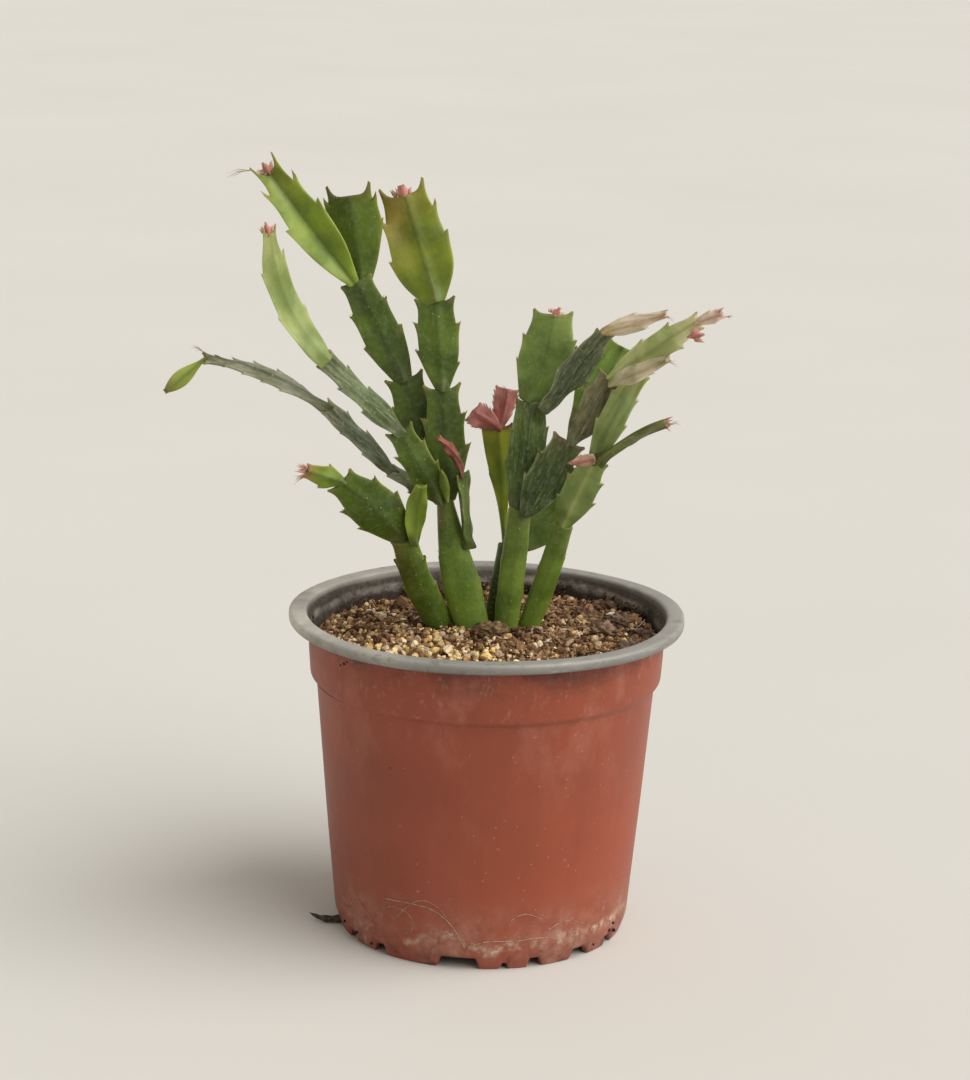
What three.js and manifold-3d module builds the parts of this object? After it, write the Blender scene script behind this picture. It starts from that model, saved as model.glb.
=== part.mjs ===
// A christmas cactus growing in a round plastic nursery pot.
// Millimetres, +Z up. The pot's axis is X = Y = 0 while the pieces are made, and the pot
// stands on Z = 0. The last lines move the whole group sideways, so that the origin is the
// middle of the underside of the bounding box.
// Every stem section, called a pad here, is its own closed solid.
import * as THREE from 'three';
import { mergeVertices } from 'three/addons/utils/BufferGeometryUtils.js';
import Module from 'manifold-3d';

const wasm = await Module();
wasm.setup();

// Driving dimensions.
const gap = 0.3; // clearance kept between pieces that touch
const pot = {
  height: 107,
  lipRadius: 65,
  lipDepth: 3.4,
  lipRounding: 1.2,
  lipWidth: 5.7,
  wall: 1.2,
  collarTopRadius: 58.6,
  collarFootRadius: 57.9,
  collarFoot: 86,
  stepDrop: 2,
  bodyTopRadius: 55.9,
  bodyFootRadius: 48.9,
  footRise: 5, // the height over which the wall turns in to the foot
  footRadius: 47.4,
  footWidth: 2.2,
  floorUnderside: 6,
  floorThickness: 1.6,
  segments: 54,
};
const soil = { edge: 96.5, mound: 4, spread: 22, moundY: 2, rings: 6, segments: 40 };
const grit = { thickness: 1.8, inner: 24, outer: 54, from: 150, to: 318, steps: 16 };
const drain = { radius: 2.5, circle: 38, count: 8 };

// Gaps in the foot ring, each centred on an angle in degrees from the front (-Y) towards +X.
const footGaps = [
  { angle: -8.5, width: 14, height: 3.6, flare: 3 },
  { angle: 9.5, width: 2, height: 2, flare: 0.4 },
  { angle: 22, width: 4.6, height: 3, flare: 1.2 },
  { angle: 43, width: 8, height: 3.2, flare: 2.4 },
  { angle: 62, width: 5, height: 3, flare: 1.5 },
  { angle: -43, width: 5, height: 3, flare: 1 },
  { angle: -61, width: 5, height: 2.6, flare: 1 },
  { angle: -80, width: 6, height: 3.2, flare: 1.5 },
  { angle: 100, width: 8, height: 3.2, flare: 2 },
  { angle: 140, width: 12, height: 3.6, flare: 3 },
  { angle: 180, width: 5, height: 3, flare: 1.2 },
  { angle: -140, width: 12, height: 3.6, flare: 3 },
  { angle: -105, width: 5, height: 3, flare: 1.2 },
];

const paint = (color, roughness) => new THREE.MeshStandardMaterial({ color, roughness, metalness: 0 });
const materials = {
  terracottaPlastic: paint(0xa5553c, 0.55),
  soil: paint(0x4a3526, 0.95),
  grit: paint(0xc9a878, 0.9),
  bark: paint(0xa88a66, 0.9),
  root: paint(0x4b3a2c, 0.9),
  darkGreen: paint(0x33521f, 0.45),
  leafGreen: paint(0x5d7f2a, 0.45),
  youngGreen: paint(0x8fa743, 0.45),
  greyGreen: paint(0x6d7a5a, 0.6),
  dryBeige: paint(0xb79a80, 0.7),
  pink: paint(0xc2646a, 0.5),
};

// Pads. base and tip are the ends of the pad's centre line and bow moves its middle. face
// turns the flat side about the centre line, from 0 (towards -Y) to 90 (edge-on), and twist
// is how much more it turns from base to tip. neck, belly and apex shape the outline: the
// share of the width at the base, where the widest place is, and the share at the tip.
// rise and fall are the powers of the curves between those places. left and right hold the
// places of the teeth along each margin, from 0 at the base to 1 at the tip; a tooth stands
// out by tooth and leans forward by hook, and by claw at the tip.
const padForm = {
  thick: 2.4, bow: [0, 0, 0], face: 0, twist: 0, neck: 0.3, rise: 1, belly: 0.45, apex: 0.7,
  fall: 2, left: [0.38, 0.7, 1], right: [0.44, 0.74, 1], tooth: 1.5, hook: 2, claw: 2.4,
  round: false,
};
const stemForm = {
  ...padForm, thick: 6, neck: 0.75, belly: 0.45, apex: 0.85, left: [1], right: [1],
  tooth: 0, hook: 0, claw: 0, round: true,
};
const budForm = {
  ...padForm, thick: 2, neck: 0.4, belly: 0.5, apex: 0.35, left: [1], right: [1],
  tooth: 0, hook: 0, claw: 0, round: true,
};

const pads = {
  // Branch a, low on the left.
  stem_a: { form: stemForm, base: [-10.4, 5.4, 95], tip: [-27, -8, 132], width: 9.8,
    neck: 0.62, bow: [-2, 0, -1], apex: 0.8, paint: 'leafGreen' },
  pad_a1: { form: padForm, base: [-28, -8.6, 132.9], tip: [-46.6, -22, 154], width: 15.5,
    thick: 3, bow: [0.8, 0, 0.6], apex: 0.5, claw: 1.4, paint: 'darkGreen' },
  pad_a2: { form: padForm, base: [-47.4, -22.4, 154.6], tip: [-57.4, -27, 158.6], width: 7,
    apex: 0.5, left: [0.5, 1], right: [0.4, 1], tooth: 0.8, hook: 1.2, claw: 0.8,
    paint: 'leafGreen' },
  young_pad_a3: { form: padForm, base: [-23.8, -11, 133], tip: [-22, -13, 151], width: 7.4,
    face: 25, bow: [-0.8, 0, 0], apex: 0.6, left: [1], right: [1], tooth: 0.2, hook: 0.4,
    claw: 0.4, paint: 'youngGreen' },

  // Branch b, the tall one: one stem that carries four chains of pads.
  stem_b: { form: stemForm, base: [-2.4, 0, 95], tip: [-14.3, 0, 144], width: 12.4, thick: 6.5,
    neck: 0.74, belly: 0.42, apex: 0.4, fall: 1.2, bow: [-1.1, 0, 0], paint: 'leafGreen' },
  pad_b1a: { form: padForm, base: [-17.4, 2.4, 143.8], tip: [-31.4, 3, 152], width: 7, face: 55,
    left: [0.5, 1], right: [0.45, 1], tooth: 0.8, hook: 1.4, claw: 1, paint: 'greyGreen' },
  pad_b1b: { form: padForm, base: [-32, 3, 152.4], tip: [-52.6, -4, 174], width: 9.4, face: 55,
    tooth: 1, claw: 1.4, paint: 'greyGreen' },
  pad_b1c: { form: padForm, base: [-53.2, -4.4, 174.4], tip: [-90, -18, 192], width: 8.4,
    face: 62, bow: [0, 0, 2.7], left: [0.3, 0.55, 0.8, 1], right: [0.24, 0.48, 0.75, 1],
    apex: 0.35, tooth: 0.8, claw: 1, paint: 'greyGreen' },
  bud_b1d: { form: budForm, base: [-90.9, -18.4, 192], tip: [-102, -24, 183], width: 5.2,
    thick: 3.6, neck: 0.2, rise: 2, belly: 0.62, paint: 'youngGreen' },
  pad_b2a: { form: padForm, base: [-16.2, -3.4, 145], tip: [-28.6, -12, 168.6], width: 10,
    tooth: 1.4, claw: 1.6, paint: 'darkGreen' },
  pad_b2b: { form: padForm, base: [-29.4, -12.4, 169.2], tip: [-52.6, -20, 192.8], width: 8.8,
    face: 42, tooth: 0.9, claw: 0.8, neck: 0.5, paint: 'greyGreen' },
  pad_b2c: { form: padForm, base: [-53, -20.4, 193.6], tip: [-70, -24, 233], width: 10,
    face: 40, bow: [-3.7, 0, -1.6], neck: 0.62, apex: 0.42, left: [0.4, 0.7, 1],
    right: [0.35, 0.82, 1], tooth: 0.8, claw: 2.6, paint: 'youngGreen' },
  pad_b3a: { form: padForm, base: [-15.6, 5, 145.4], tip: [-28, 8, 181.6], width: 14,
    left: [0.4, 0.78, 1], tooth: 1.8, claw: 1.6, paint: 'darkGreen' },
  pad_b3b: { form: padForm, base: [-28.9, 8.2, 182.6], tip: [-44, 7, 213.6], width: 12.6,
    neck: 0.45, belly: 0.4, apex: 0.7, tooth: 1.2, hook: 1.4, claw: 0.4, paint: 'darkGreen' },
  pad_b3c: { form: padForm, base: [-42.4, 9, 214.5], tip: [-46.6, 9, 240.6], width: 18,
    neck: 0.34, belly: 0.7, apex: 0.74, face: -8, left: [0.7, 0.9, 1], right: [0.66, 0.9, 1],
    tooth: 0.8, hook: 1.4, claw: 4, paint: 'leafGreen' },
  pad_b3d: { form: padForm, base: [-45.6, 5, 214.7], tip: [-71.4, 0, 249], width: 12.6,
    face: 12, apex: 0.5, left: [0.55, 0.84, 1], right: [0.6, 0.82, 1], tooth: 1.3, hook: 2.4,
    claw: 5, paint: 'youngGreen' },
  pad_b4a: { form: padForm, base: [-12.8, 0.4, 145.4], tip: [-15.8, 2, 179.6], width: 12.6,
    tooth: 2, hook: 2.4, claw: 2, paint: 'darkGreen' },
  pad_b4b: { form: padForm, base: [-15.8, 2.2, 180.8], tip: [-18.6, 6, 207.4], width: 13,
    belly: 0.5, apex: 0.8, left: [0.42, 0.74, 1], right: [0.24, 0.7, 1], claw: 1.6,
    paint: 'darkGreen' },
  pad_b4c: { form: padForm, base: [-19, 6.4, 208.9], tip: [-29.2, 14, 240.6], width: 19.4,
    neck: 0.34, belly: 0.38, apex: 0.66, face: 8, left: [0.4, 0.74, 1], right: [0.55, 0.8, 1],
    tooth: 1.2, claw: 4, paint: 'youngGreen' },
  pad_b5: { form: padForm, base: [-6.4, -2.4, 130], tip: [-8.8, -3.8, 153], width: 7.5,
    face: 72, twist: -20, left: [0.5, 1], right: [0.6, 1], tooth: 0.8, hook: 1, claw: 0.6,
    paint: 'darkGreen' },
  bud_b6: { form: budForm, base: [-9, -4.6, 154], tip: [-16.4, -6, 165.4], width: 3,
    thick: 2.4, bow: [1, 0, 0.9], paint: 'pink' },
  young_pad_b7: { form: budForm, base: [-13.6, -5, 146], tip: [-15.3, -8.6, 155], width: 3,
    paint: 'youngGreen' },

  // Branch c, at the back.
  stem_c: { form: stemForm, base: [1.4, 11, 95], tip: [6, 11, 126], width: 6, thick: 5,
    paint: 'darkGreen' },
  pad_c1: { form: padForm, base: [5.8, 11.2, 126.6], tip: [2.4, 16, 164.6], width: 10,
    neck: 0.22, rise: 3, belly: 0.95, apex: 0.95, left: [0.6, 1], right: [0.6, 1], tooth: 0.5,
    hook: 0.6, claw: 1.2, paint: 'youngGreen' },
  pink_leaf_c2: { form: padForm, base: [0.8, 15.2, 166.6], tip: [-5.4, 12, 170.6], width: 6.2,
    thick: 1.2, neck: 0.5, belly: 0.7, apex: 0.85, left: [0.8, 1], right: [0.8, 1],
    tooth: 0.3, hook: 0.5, claw: 0.5, paint: 'pink' },
  pink_leaf_c3: { form: padForm, base: [3.4, 16.8, 166.4], tip: [5.2, 18, 177], width: 6,
    thick: 1.2, neck: 0.5, belly: 0.6, apex: 0.8, left: [0.8, 1], right: [0.8, 1],
    tooth: 0.3, hook: 0.5, claw: 0.5, paint: 'pink' },
  pad_c4: { form: padForm, base: [9.4, 13, 125.4], tip: [23.6, 18, 139.5], width: 13,
    paint: 'leafGreen' },

  // Branch d, at the front, that spreads to the right.
  stem_d: { form: stemForm, base: [5.8, 1, 95], tip: [10.2, 0, 141], width: 8.4,
    neck: 0.84, paint: 'leafGreen' },
  pad_d1: { form: padForm, base: [9.6, 0.8, 142], tip: [13, -0.6, 176.6], width: 12.4, thick: 4,
    bow: [0.5, 0, 0], neck: 0.42, tooth: 0.7, claw: 1.2, paint: 'darkGreen' },
  pad_d2: { form: padForm, base: [12.6, 0.6, 178.2], tip: [19.4, 4, 204.4], width: 17,
    bow: [1.2, 0, -0.8], neck: 0.38, belly: 0.5, apex: 0.66, tooth: 1, hook: 1.6, claw: 1.6,
    paint: 'leafGreen' },
  pad_d3: { form: padForm, base: [18, -4.4, 176.4], tip: [35.5, -10, 201.4], width: 10.4,
    face: 28, tooth: 1, claw: 0.8, paint: 'greyGreen' },
  dry_tip_d4: { form: padForm, base: [36.4, -10.4, 202.4], tip: [54, -16, 209], width: 5.6,
    thick: 1.2, left: [0.5, 1], right: [0.6, 1], tooth: 0.4, hook: 0.8, claw: 0.6,
    paint: 'dryBeige' },
  pad_d5: { form: padForm, base: [12.4, -3.8, 141.6], tip: [25, -4.4, 164.6], width: 12.5,
    claw: 1, paint: 'darkGreen' },
  pad_d6: { form: padForm, base: [26.6, -4, 165.4], tip: [38.2, -4, 186], width: 10,
    face: 10, claw: 0.8, paint: 'greyGreen' },
  pad_d7: { form: padForm, base: [28.6, -0.4, 166.8], tip: [42, 6, 194], width: 13.5,
    paint: 'leafGreen' },
  pad_d8: { form: padForm, base: [39.4, -6, 187.2], tip: [64, -24, 208], width: 9,
    apex: 0.42, tooth: 1.2, claw: 1.4, paint: 'youngGreen' },
  young_pad_d9: { form: padForm, base: [64.8, -24.6, 208.6], tip: [71, -27, 211.4], width: 4,
    thick: 1.4, left: [0.5, 1], right: [0.5, 1], tooth: 0.3, hook: 0.6, claw: 0.6,
    paint: 'dryBeige' },
  dry_pad_d10: { form: padForm, base: [39.6, -8, 185.6], tip: [55, -23, 196], width: 5.6,
    thick: 1.2, left: [0.5, 1], right: [0.6, 1], tooth: 0.3, hook: 0.6, claw: 0.5,
    paint: 'dryBeige' },

  // Branch e, on the right.
  stem_e: { form: stemForm, base: [11.8, 5, 95], tip: [24.2, 0, 136], width: 7.6,
    neck: 0.78, bow: [0.7, 0, -0.4], paint: 'leafGreen' },
  pad_e1: { form: padForm, base: [24.4, -0.6, 137], tip: [33, -12, 159.6], width: 11,
    bow: [0, -1, 0], neck: 0.42, tooth: 1.2, hook: 1.6, claw: 1.2, paint: 'leafGreen' },
  pad_e2: { form: padForm, base: [33.6, -11.8, 160.8], tip: [46.8, -3.4, 187], width: 8.6,
    bow: [-0.8, -1, 0.4], neck: 0.42, tooth: 0.9, hook: 1.4, claw: 1, paint: 'youngGreen' },
  pad_e3: { form: padForm, base: [35.6, -14.6, 161.6], tip: [55.4, -21, 175], width: 8,
    face: 66, bow: [0, 0, 1], left: [0.5, 1], right: [0.6, 1], tooth: 0.6, hook: 1, claw: 0.6,
    paint: 'darkGreen' },
  pink_leaf_e4: { form: budForm, base: [32, -14.6, 161.4], tip: [25.6, -16, 160.4], width: 4,
    thick: 1.2, neck: 0.9, belly: 0.2, apex: 0.15, paint: 'pink' },

  // Flower buds at the ends of the youngest pads.
  bud_b2: { form: budForm, base: [-70.2, -24.2, 234], tip: [-70.8, -24.4, 236], width: 2,
    thick: 1.6, paint: 'pink' },
  bud_b3: { form: budForm, base: [-72.2, 0, 249.9], tip: [-74, -0.4, 252.4], width: 3,
    thick: 2, paint: 'pink' },
  bud_b4: { form: budForm, base: [-29.6, 14.3, 241.6], tip: [-30.4, 14.6, 244.4], width: 4.6,
    thick: 2.4, neck: 0.8, apex: 0.7, paint: 'pink' },
  bud_d2: { form: budForm, base: [20.4, 4.2, 205.2], tip: [21.6, 4.4, 207], width: 3,
    thick: 1.8, paint: 'pink' },
  bud_d8: { form: budForm, base: [62.6, -25.6, 204], tip: [66.6, -27, 204.8], width: 3,
    thick: 2, paint: 'pink' },
};

const buildGeometry = (positions, triangles) => {
  const geometry = new THREE.BufferGeometry();
  geometry.setAttribute('position', new THREE.Float32BufferAttribute(positions, 3));
  geometry.setIndex(triangles);
  return geometry;
};

// Turns a geometry into a manifold solid, with its faces pointing out.
const solidOf = (geometry) => {
  const bare = geometry.clone();
  bare.deleteAttribute('normal');
  bare.deleteAttribute('uv');
  const merged = mergeVertices(bare, 1e-4);
  const triVerts = Uint32Array.from(merged.index.array);
  const mesh = new wasm.Mesh({ numProp: 3, vertProperties: merged.attributes.position.array, triVerts });
  return new wasm.Manifold(mesh);
};

const geometryOf = (solid) => {
  const { numProp, vertProperties, triVerts } = solid.getMesh();
  const positions = [];
  for (let i = 0; i < vertProperties.length; i += numProp) {
    positions.push(vertProperties[i], vertProperties[i + 1], vertProperties[i + 2]);
  }
  const geometry = buildGeometry(positions, Array.from(triVerts));
  geometry.computeVertexNormals();
  return geometry;
};

const cactus = new THREE.Group();
const addMesh = (name, geometry, material) => {
  geometry.computeVertexNormals();
  const mesh = new THREE.Mesh(geometry, material);
  mesh.name = name;
  cactus.add(mesh);
  return mesh;
};

// The pot is a turned shell with a raised floor: a lip, a collar under it, one small step
// and a tapering body whose foot ring is broken by the drainage gaps.
function potProfile() {
  const { height, lipRadius, lipDepth, lipRounding, lipWidth, wall } = pot;
  const lipInner = lipRadius - lipWidth;
  const floorTop = pot.floorUnderside + pot.floorThickness;
  const points = [
    [0, pot.floorUnderside],
    [pot.footRadius - pot.footWidth - 1, pot.floorUnderside],
    [pot.footRadius - pot.footWidth, pot.floorUnderside - 1],
    [pot.footRadius - pot.footWidth, 0],
    [pot.footRadius - 0.3, 0],
    [pot.footRadius + 0.5, pot.footRise * 0.45],
    [pot.bodyFootRadius, pot.footRise],
    [pot.bodyTopRadius, pot.collarFoot - pot.stepDrop],
    [pot.collarFootRadius, pot.collarFoot],
    [(pot.collarFootRadius + pot.collarTopRadius) / 2 + 0.3, (pot.collarFoot + height) / 2],
    [pot.collarTopRadius, height - lipDepth],
  ];
  // The lip's section is a rounded bar.
  const corners = [
    [lipRadius, height - lipDepth, -90],
    [lipRadius, height, 0],
  ];
  for (const [radius, z, start] of corners) {
    const inward = start === 0 ? -lipRounding : lipRounding;
    for (let step = 0; step <= 2; step += 1) {
      const angle = THREE.MathUtils.degToRad(start + step * 45);
      points.push([
        radius - lipRounding + lipRounding * Math.cos(angle),
        z + inward + lipRounding * Math.sin(angle),
      ]);
    }
  }
  points.push(
    [lipInner + lipRounding, height],
    [lipInner, height - lipRounding],
    [pot.collarTopRadius - wall, height - lipDepth - 1],
    [pot.collarFootRadius - wall, pot.collarFoot],
    [pot.bodyTopRadius - wall, pot.collarFoot - pot.stepDrop],
    [pot.bodyFootRadius - wall, floorTop + 1.5],
    [pot.bodyFootRadius - wall - 1.5, floorTop],
    [0, floorTop],
  );
  return points.map(([radius, z]) => new THREE.Vector2(radius, z));
}

// A wedge with slanting sides that cuts one gap out of the foot ring.
function gapCutter({ angle, width, height, flare }) {
  const shape = new THREE.Shape([
    new THREE.Vector2(-width / 2 - 0.2, -1),
    new THREE.Vector2(width / 2 + 0.2, -1),
    new THREE.Vector2((width - flare) / 2, height),
    new THREE.Vector2((flare - width) / 2, height),
  ]);
  const geometry = new THREE.ExtrudeGeometry(shape, { depth: 12, bevelEnabled: false });
  geometry.rotateX(Math.PI / 2);
  geometry.translate(0, -pot.footRadius + 8, 0);
  geometry.rotateZ(THREE.MathUtils.degToRad(angle));
  return solidOf(geometry);
}

function drainHoleCutter(index) {
  const geometry = new THREE.CylinderGeometry(drain.radius, drain.radius, 8, 12);
  geometry.rotateX(Math.PI / 2);
  const angle = ((index + 0.5) / drain.count) * Math.PI * 2;
  geometry.translate(
    drain.circle * Math.cos(angle),
    drain.circle * Math.sin(angle),
    pot.floorUnderside + pot.floorThickness / 2,
  );
  return solidOf(geometry);
}

function buildPot() {
  const shell = new THREE.LatheGeometry(potProfile(), pot.segments);
  shell.rotateX(Math.PI / 2);
  let solid = solidOf(shell);
  for (const footGap of footGaps) solid = solid.subtract(gapCutter(footGap));
  for (let index = 0; index < drain.count; index += 1) {
    solid = solid.subtract(drainHoleCutter(index));
  }
  addMesh('pot', geometryOf(solid), materials.terracottaPlastic);
}

// The soil's surface is a low mound around the stems.
function soilHeight(x, y) {
  const distance = x * x + (y - soil.moundY) ** 2;
  return soil.edge + soil.mound * Math.exp(-distance / (2 * soil.spread ** 2));
}

function potInnerRadius(z) {
  const foot = pot.floorUnderside + pot.floorThickness + 1.5;
  const share = (z - foot) / (pot.collarFoot - pot.stepDrop - foot);
  return THREE.MathUtils.lerp(pot.bodyFootRadius, pot.bodyTopRadius, share) - pot.wall - gap;
}

// The centre line, the directions across the pad and out of its flat face, and the outline.
function centreLine(pad) {
  const base = new THREE.Vector3(...pad.base);
  const tip = new THREE.Vector3(...pad.tip);
  const middle = base.clone().add(tip).multiplyScalar(0.5);
  middle.addScaledVector(new THREE.Vector3(...pad.bow), 2);
  return new THREE.QuadraticBezierCurve3(base, middle, tip);
}

function outlineShare(pad, along) {
  if (along < pad.belly) {
    const rise = Math.sin((along / pad.belly) * (Math.PI / 2)) ** pad.rise;
    return pad.neck + (1 - pad.neck) * rise;
  }
  const past = (along - pad.belly) / (1 - pad.belly);
  return 1 - (1 - pad.apex) * past ** pad.fall;
}

// The rows of one pad: three for each tooth, and one more at the base.
function padRows(pad) {
  const rows = [];
  for (let tooth = 0; tooth < pad.left.length; tooth += 1) {
    const shares = tooth === 0 ? [0, 0.3, 0.65, 1] : [0.16, 0.6, 1];
    for (const share of shares) {
      const place = (teeth) => THREE.MathUtils.lerp(tooth ? teeth[tooth - 1] : 0, teeth[tooth], share);
      const flare = share === 1 ? 1 : 0;
      rows.push({ left: place(pad.left), right: place(pad.right), flare });
    }
  }
  return rows;
}

// Points of a section as [share of the half width, share of the half thickness].
const section = [
  [-1, 0], [-0.66, -0.75], [0, -1], [0.66, -0.75], [1, 0], [0.66, 0.75], [0, 1], [-0.66, 0.75],
];

function padGeometry(pad) {
  const curve = centreLine(pad);
  const rows = pad.round ? [0, 0.12, 0.3, 0.5, 0.7, 0.88, 1].map((share) => (
    { left: share, right: share, flare: 0 })) : padRows(pad);
  const positions = [];
  for (const row of rows) {
    const middle = (row.left + row.right) / 2;
    const centre = curve.getPoint(middle);
    const forward = curve.getTangent(middle).normalize();
    const turn = THREE.MathUtils.degToRad(pad.face + pad.twist * (middle - 0.5));
    const out = new THREE.Vector3(0, -1, 0).addScaledVector(forward, forward.y).normalize();
    out.applyAxisAngle(forward, turn);
    const across = forward.clone().cross(out);
    const slim = middle < 0.05 || middle > 0.97 ? 0.7 : 1;
    for (const [side, layer] of section) {
      const along = side < 0 ? row.left : row.right;
      const reach = (outlineShare(pad, along) * pad.width) / 2 + row.flare * pad.tooth;
      const lead = side ** 4 * row.flare * (middle === 1 ? pad.claw : pad.hook);
      const onCurve = curve.getPoint(THREE.MathUtils.lerp(middle, along, side * side));
      const point = Math.abs(side) === 1 ? onCurve : centre.clone();
      point.addScaledVector(across, side * reach);
      point.addScaledVector(out, -layer * slim * (pad.thick / 2));
      point.addScaledVector(forward, lead);
      positions.push(point.x, point.y, point.z);
    }
  }
  const count = section.length;
  const triangles = [];
  for (let row = 0; row + 1 < rows.length; row += 1) {
    for (let i = 0; i < count; i += 1) {
      const a = row * count + i;
      const b = row * count + ((i + 1) % count);
      triangles.push(a, b, b + count, a, b + count, a + count);
    }
  }
  // Each end closes on the end of the centre line.
  const last = (rows.length - 1) * count;
  const start = rows.length * count;
  for (const end of [curve.getPoint(0), curve.getPoint(1)]) positions.push(end.x, end.y, end.z);
  for (let i = 0; i < count; i += 1) {
    const next = (i + 1) % count;
    triangles.push(start, next, i, start + 1, last + i, last + next);
  }
  return buildGeometry(positions, triangles);
}

function buildPads() {
  for (const [name, spec] of Object.entries(pads)) {
    addMesh(name, padGeometry({ ...spec.form, ...spec }), materials[spec.paint]);
  }
}

// The soil fills the pot up to the mound and has a socket for each stem.
function buildSoil() {
  const bottom = pot.floorUnderside + pot.floorThickness + gap;
  const points = [new THREE.Vector2(0, bottom), new THREE.Vector2(pot.bodyFootRadius - 4, bottom)];
  points.push(new THREE.Vector2(potInnerRadius(bottom + 2), bottom + 2));
  const stepFoot = pot.collarFoot - pot.stepDrop;
  points.push(new THREE.Vector2(potInnerRadius(stepFoot), stepFoot));
  points.push(new THREE.Vector2(pot.collarFootRadius - pot.wall - 2 * gap, pot.collarFoot + 1));
  const rimRadius = pot.collarFootRadius - pot.wall - gap;
  for (let ring = soil.rings; ring >= 0; ring -= 1) {
    points.push(new THREE.Vector2((rimRadius * ring) / soil.rings, soil.edge));
  }
  const geometry = new THREE.LatheGeometry(points, soil.segments);
  geometry.rotateX(Math.PI / 2);
  const position = geometry.attributes.position;
  for (let i = 0; i < position.count; i += 1) {
    if (position.getZ(i) > soil.edge - 0.01) {
      position.setZ(i, soilHeight(position.getX(i), position.getY(i)));
    }
  }
  let solid = solidOf(geometry);
  for (const spec of Object.values(pads)) {
    if (spec.form !== stemForm) continue;
    const pad = { ...spec.form, ...spec };
    const socket = { ...pad, width: pad.width + 2 * gap, thick: pad.thick + 2 * gap };
    socket.base = [pad.base[0], pad.base[1], pad.base[2] - gap];
    solid = solid.subtract(solidOf(padGeometry(socket)));
  }
  addMesh('soil', geometryOf(solid), materials.soil);
}

// The loose grit lies on the soil as one thin curved layer, along the left and the front.
function buildGrit() {
  const rings = [0, 1 / 3, 2 / 3, 1].map((share) => THREE.MathUtils.lerp(grit.inner, grit.outer, share));
  const positions = [];
  for (let step = 0; step <= grit.steps; step += 1) {
    const angle = THREE.MathUtils.degToRad(THREE.MathUtils.lerp(grit.from, grit.to, step / grit.steps));
    for (const level of [0, 1]) {
      for (const radius of rings) {
        const x = radius * Math.cos(angle);
        const y = radius * Math.sin(angle);
        const under = soilHeight(x, y) + 2 * gap;
        positions.push(x, y, under + level * grit.thickness);
      }
    }
  }
  const count = rings.length;
  const slice = 2 * count;
  const loop = [0, 1, 2, 3, 7, 6, 5, 4];
  const triangles = [];
  for (let step = 0; step < grit.steps; step += 1) {
    for (let i = 0; i < loop.length; i += 1) {
      const a = step * slice + loop[i];
      const b = step * slice + loop[(i + 1) % loop.length];
      triangles.push(a, a + slice, b + slice, a, b + slice, b);
    }
  }
  const end = grit.steps * slice;
  for (let i = 0; i + 1 < count; i += 1) {
    triangles.push(i, i + 1, i + 1 + count, i, i + 1 + count, i + count);
    triangles.push(end + i, end + i + 1 + count, end + i + 1, end + i, end + i + count, end + i + 1 + count);
  }
  addMesh('grit', buildGeometry(positions, triangles), materials.grit);
}

// Small things that lie on the soil, and the scrap of dried root at the foot.
function buildChips() {
  const chips = [
    { name: 'bark_chip_1', at: [34, 6], size: [8, 2.6, 1.2], turn: 10 },
    { name: 'bark_chip_2', at: [27, -12], size: [9, 2, 1], turn: 35 },
    { name: 'bark_chip_3', at: [24, 26], size: [6, 3, 1.4], turn: -20 },
  ];
  for (const { name, at, size, turn } of chips) {
    const mesh = addMesh(name, new THREE.BoxGeometry(...size), materials.bark);
    mesh.position.set(at[0], at[1], soilHeight(at[0] - 5, at[1]) + 1.2);
    mesh.rotation.z = THREE.MathUtils.degToRad(turn);
  }
  const clod = new THREE.IcosahedronGeometry(3.4, 1);
  clod.scale(1.1, 0.8, 0.62);
  const lump = addMesh('soil_clod', mergeVertices(stripped(clod), 1e-4), materials.soil);
  lump.position.set(1.5, -7, 102.6);
}

function stripped(geometry) {
  geometry.deleteAttribute('normal');
  geometry.deleteAttribute('uv');
  return geometry;
}

function buildRootScrap() {
  const route = new THREE.CatmullRomCurve3([
    new THREE.Vector3(-46.4, -8.3, 1.3),
    new THREE.Vector3(-50, -8.6, 1.4),
    new THREE.Vector3(-53, -8.2, 1.5),
    new THREE.Vector3(-56.5, -8.6, 3.2),
  ]);
  const outline = new THREE.Shape().absellipse(0, 0, 0.8, 1.1, 0, Math.PI * 2);
  const geometry = new THREE.ExtrudeGeometry(outline, { steps: 8, extrudePath: route, curveSegments: 8 });
  addMesh('root_scrap', geometry, materials.root);
}

buildPot();
buildSoil();
buildGrit();
buildChips();
buildRootScrap();
buildPads();

const bounds = new THREE.Box3().setFromObject(cactus);
const middle = bounds.getCenter(new THREE.Vector3());
cactus.position.set(-middle.x, -middle.y, -bounds.min.z);

export default cactus;
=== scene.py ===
import math

import bpy
import numpy as np
from mathutils import Matrix, Vector


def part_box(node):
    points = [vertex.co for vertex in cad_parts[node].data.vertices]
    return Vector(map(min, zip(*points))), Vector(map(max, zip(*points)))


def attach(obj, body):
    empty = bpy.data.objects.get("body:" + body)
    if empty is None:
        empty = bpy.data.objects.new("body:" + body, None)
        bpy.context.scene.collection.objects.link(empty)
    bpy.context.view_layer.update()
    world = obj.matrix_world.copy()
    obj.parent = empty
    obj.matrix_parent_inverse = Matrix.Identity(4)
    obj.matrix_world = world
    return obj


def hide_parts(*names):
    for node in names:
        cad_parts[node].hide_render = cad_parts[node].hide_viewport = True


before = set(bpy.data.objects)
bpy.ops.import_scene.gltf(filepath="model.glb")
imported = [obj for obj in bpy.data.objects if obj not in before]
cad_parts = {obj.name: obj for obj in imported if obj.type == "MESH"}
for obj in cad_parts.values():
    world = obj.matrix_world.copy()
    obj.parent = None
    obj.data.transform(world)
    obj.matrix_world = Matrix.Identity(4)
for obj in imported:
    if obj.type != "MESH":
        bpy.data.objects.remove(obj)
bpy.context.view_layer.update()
potLow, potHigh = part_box("pot")
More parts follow.
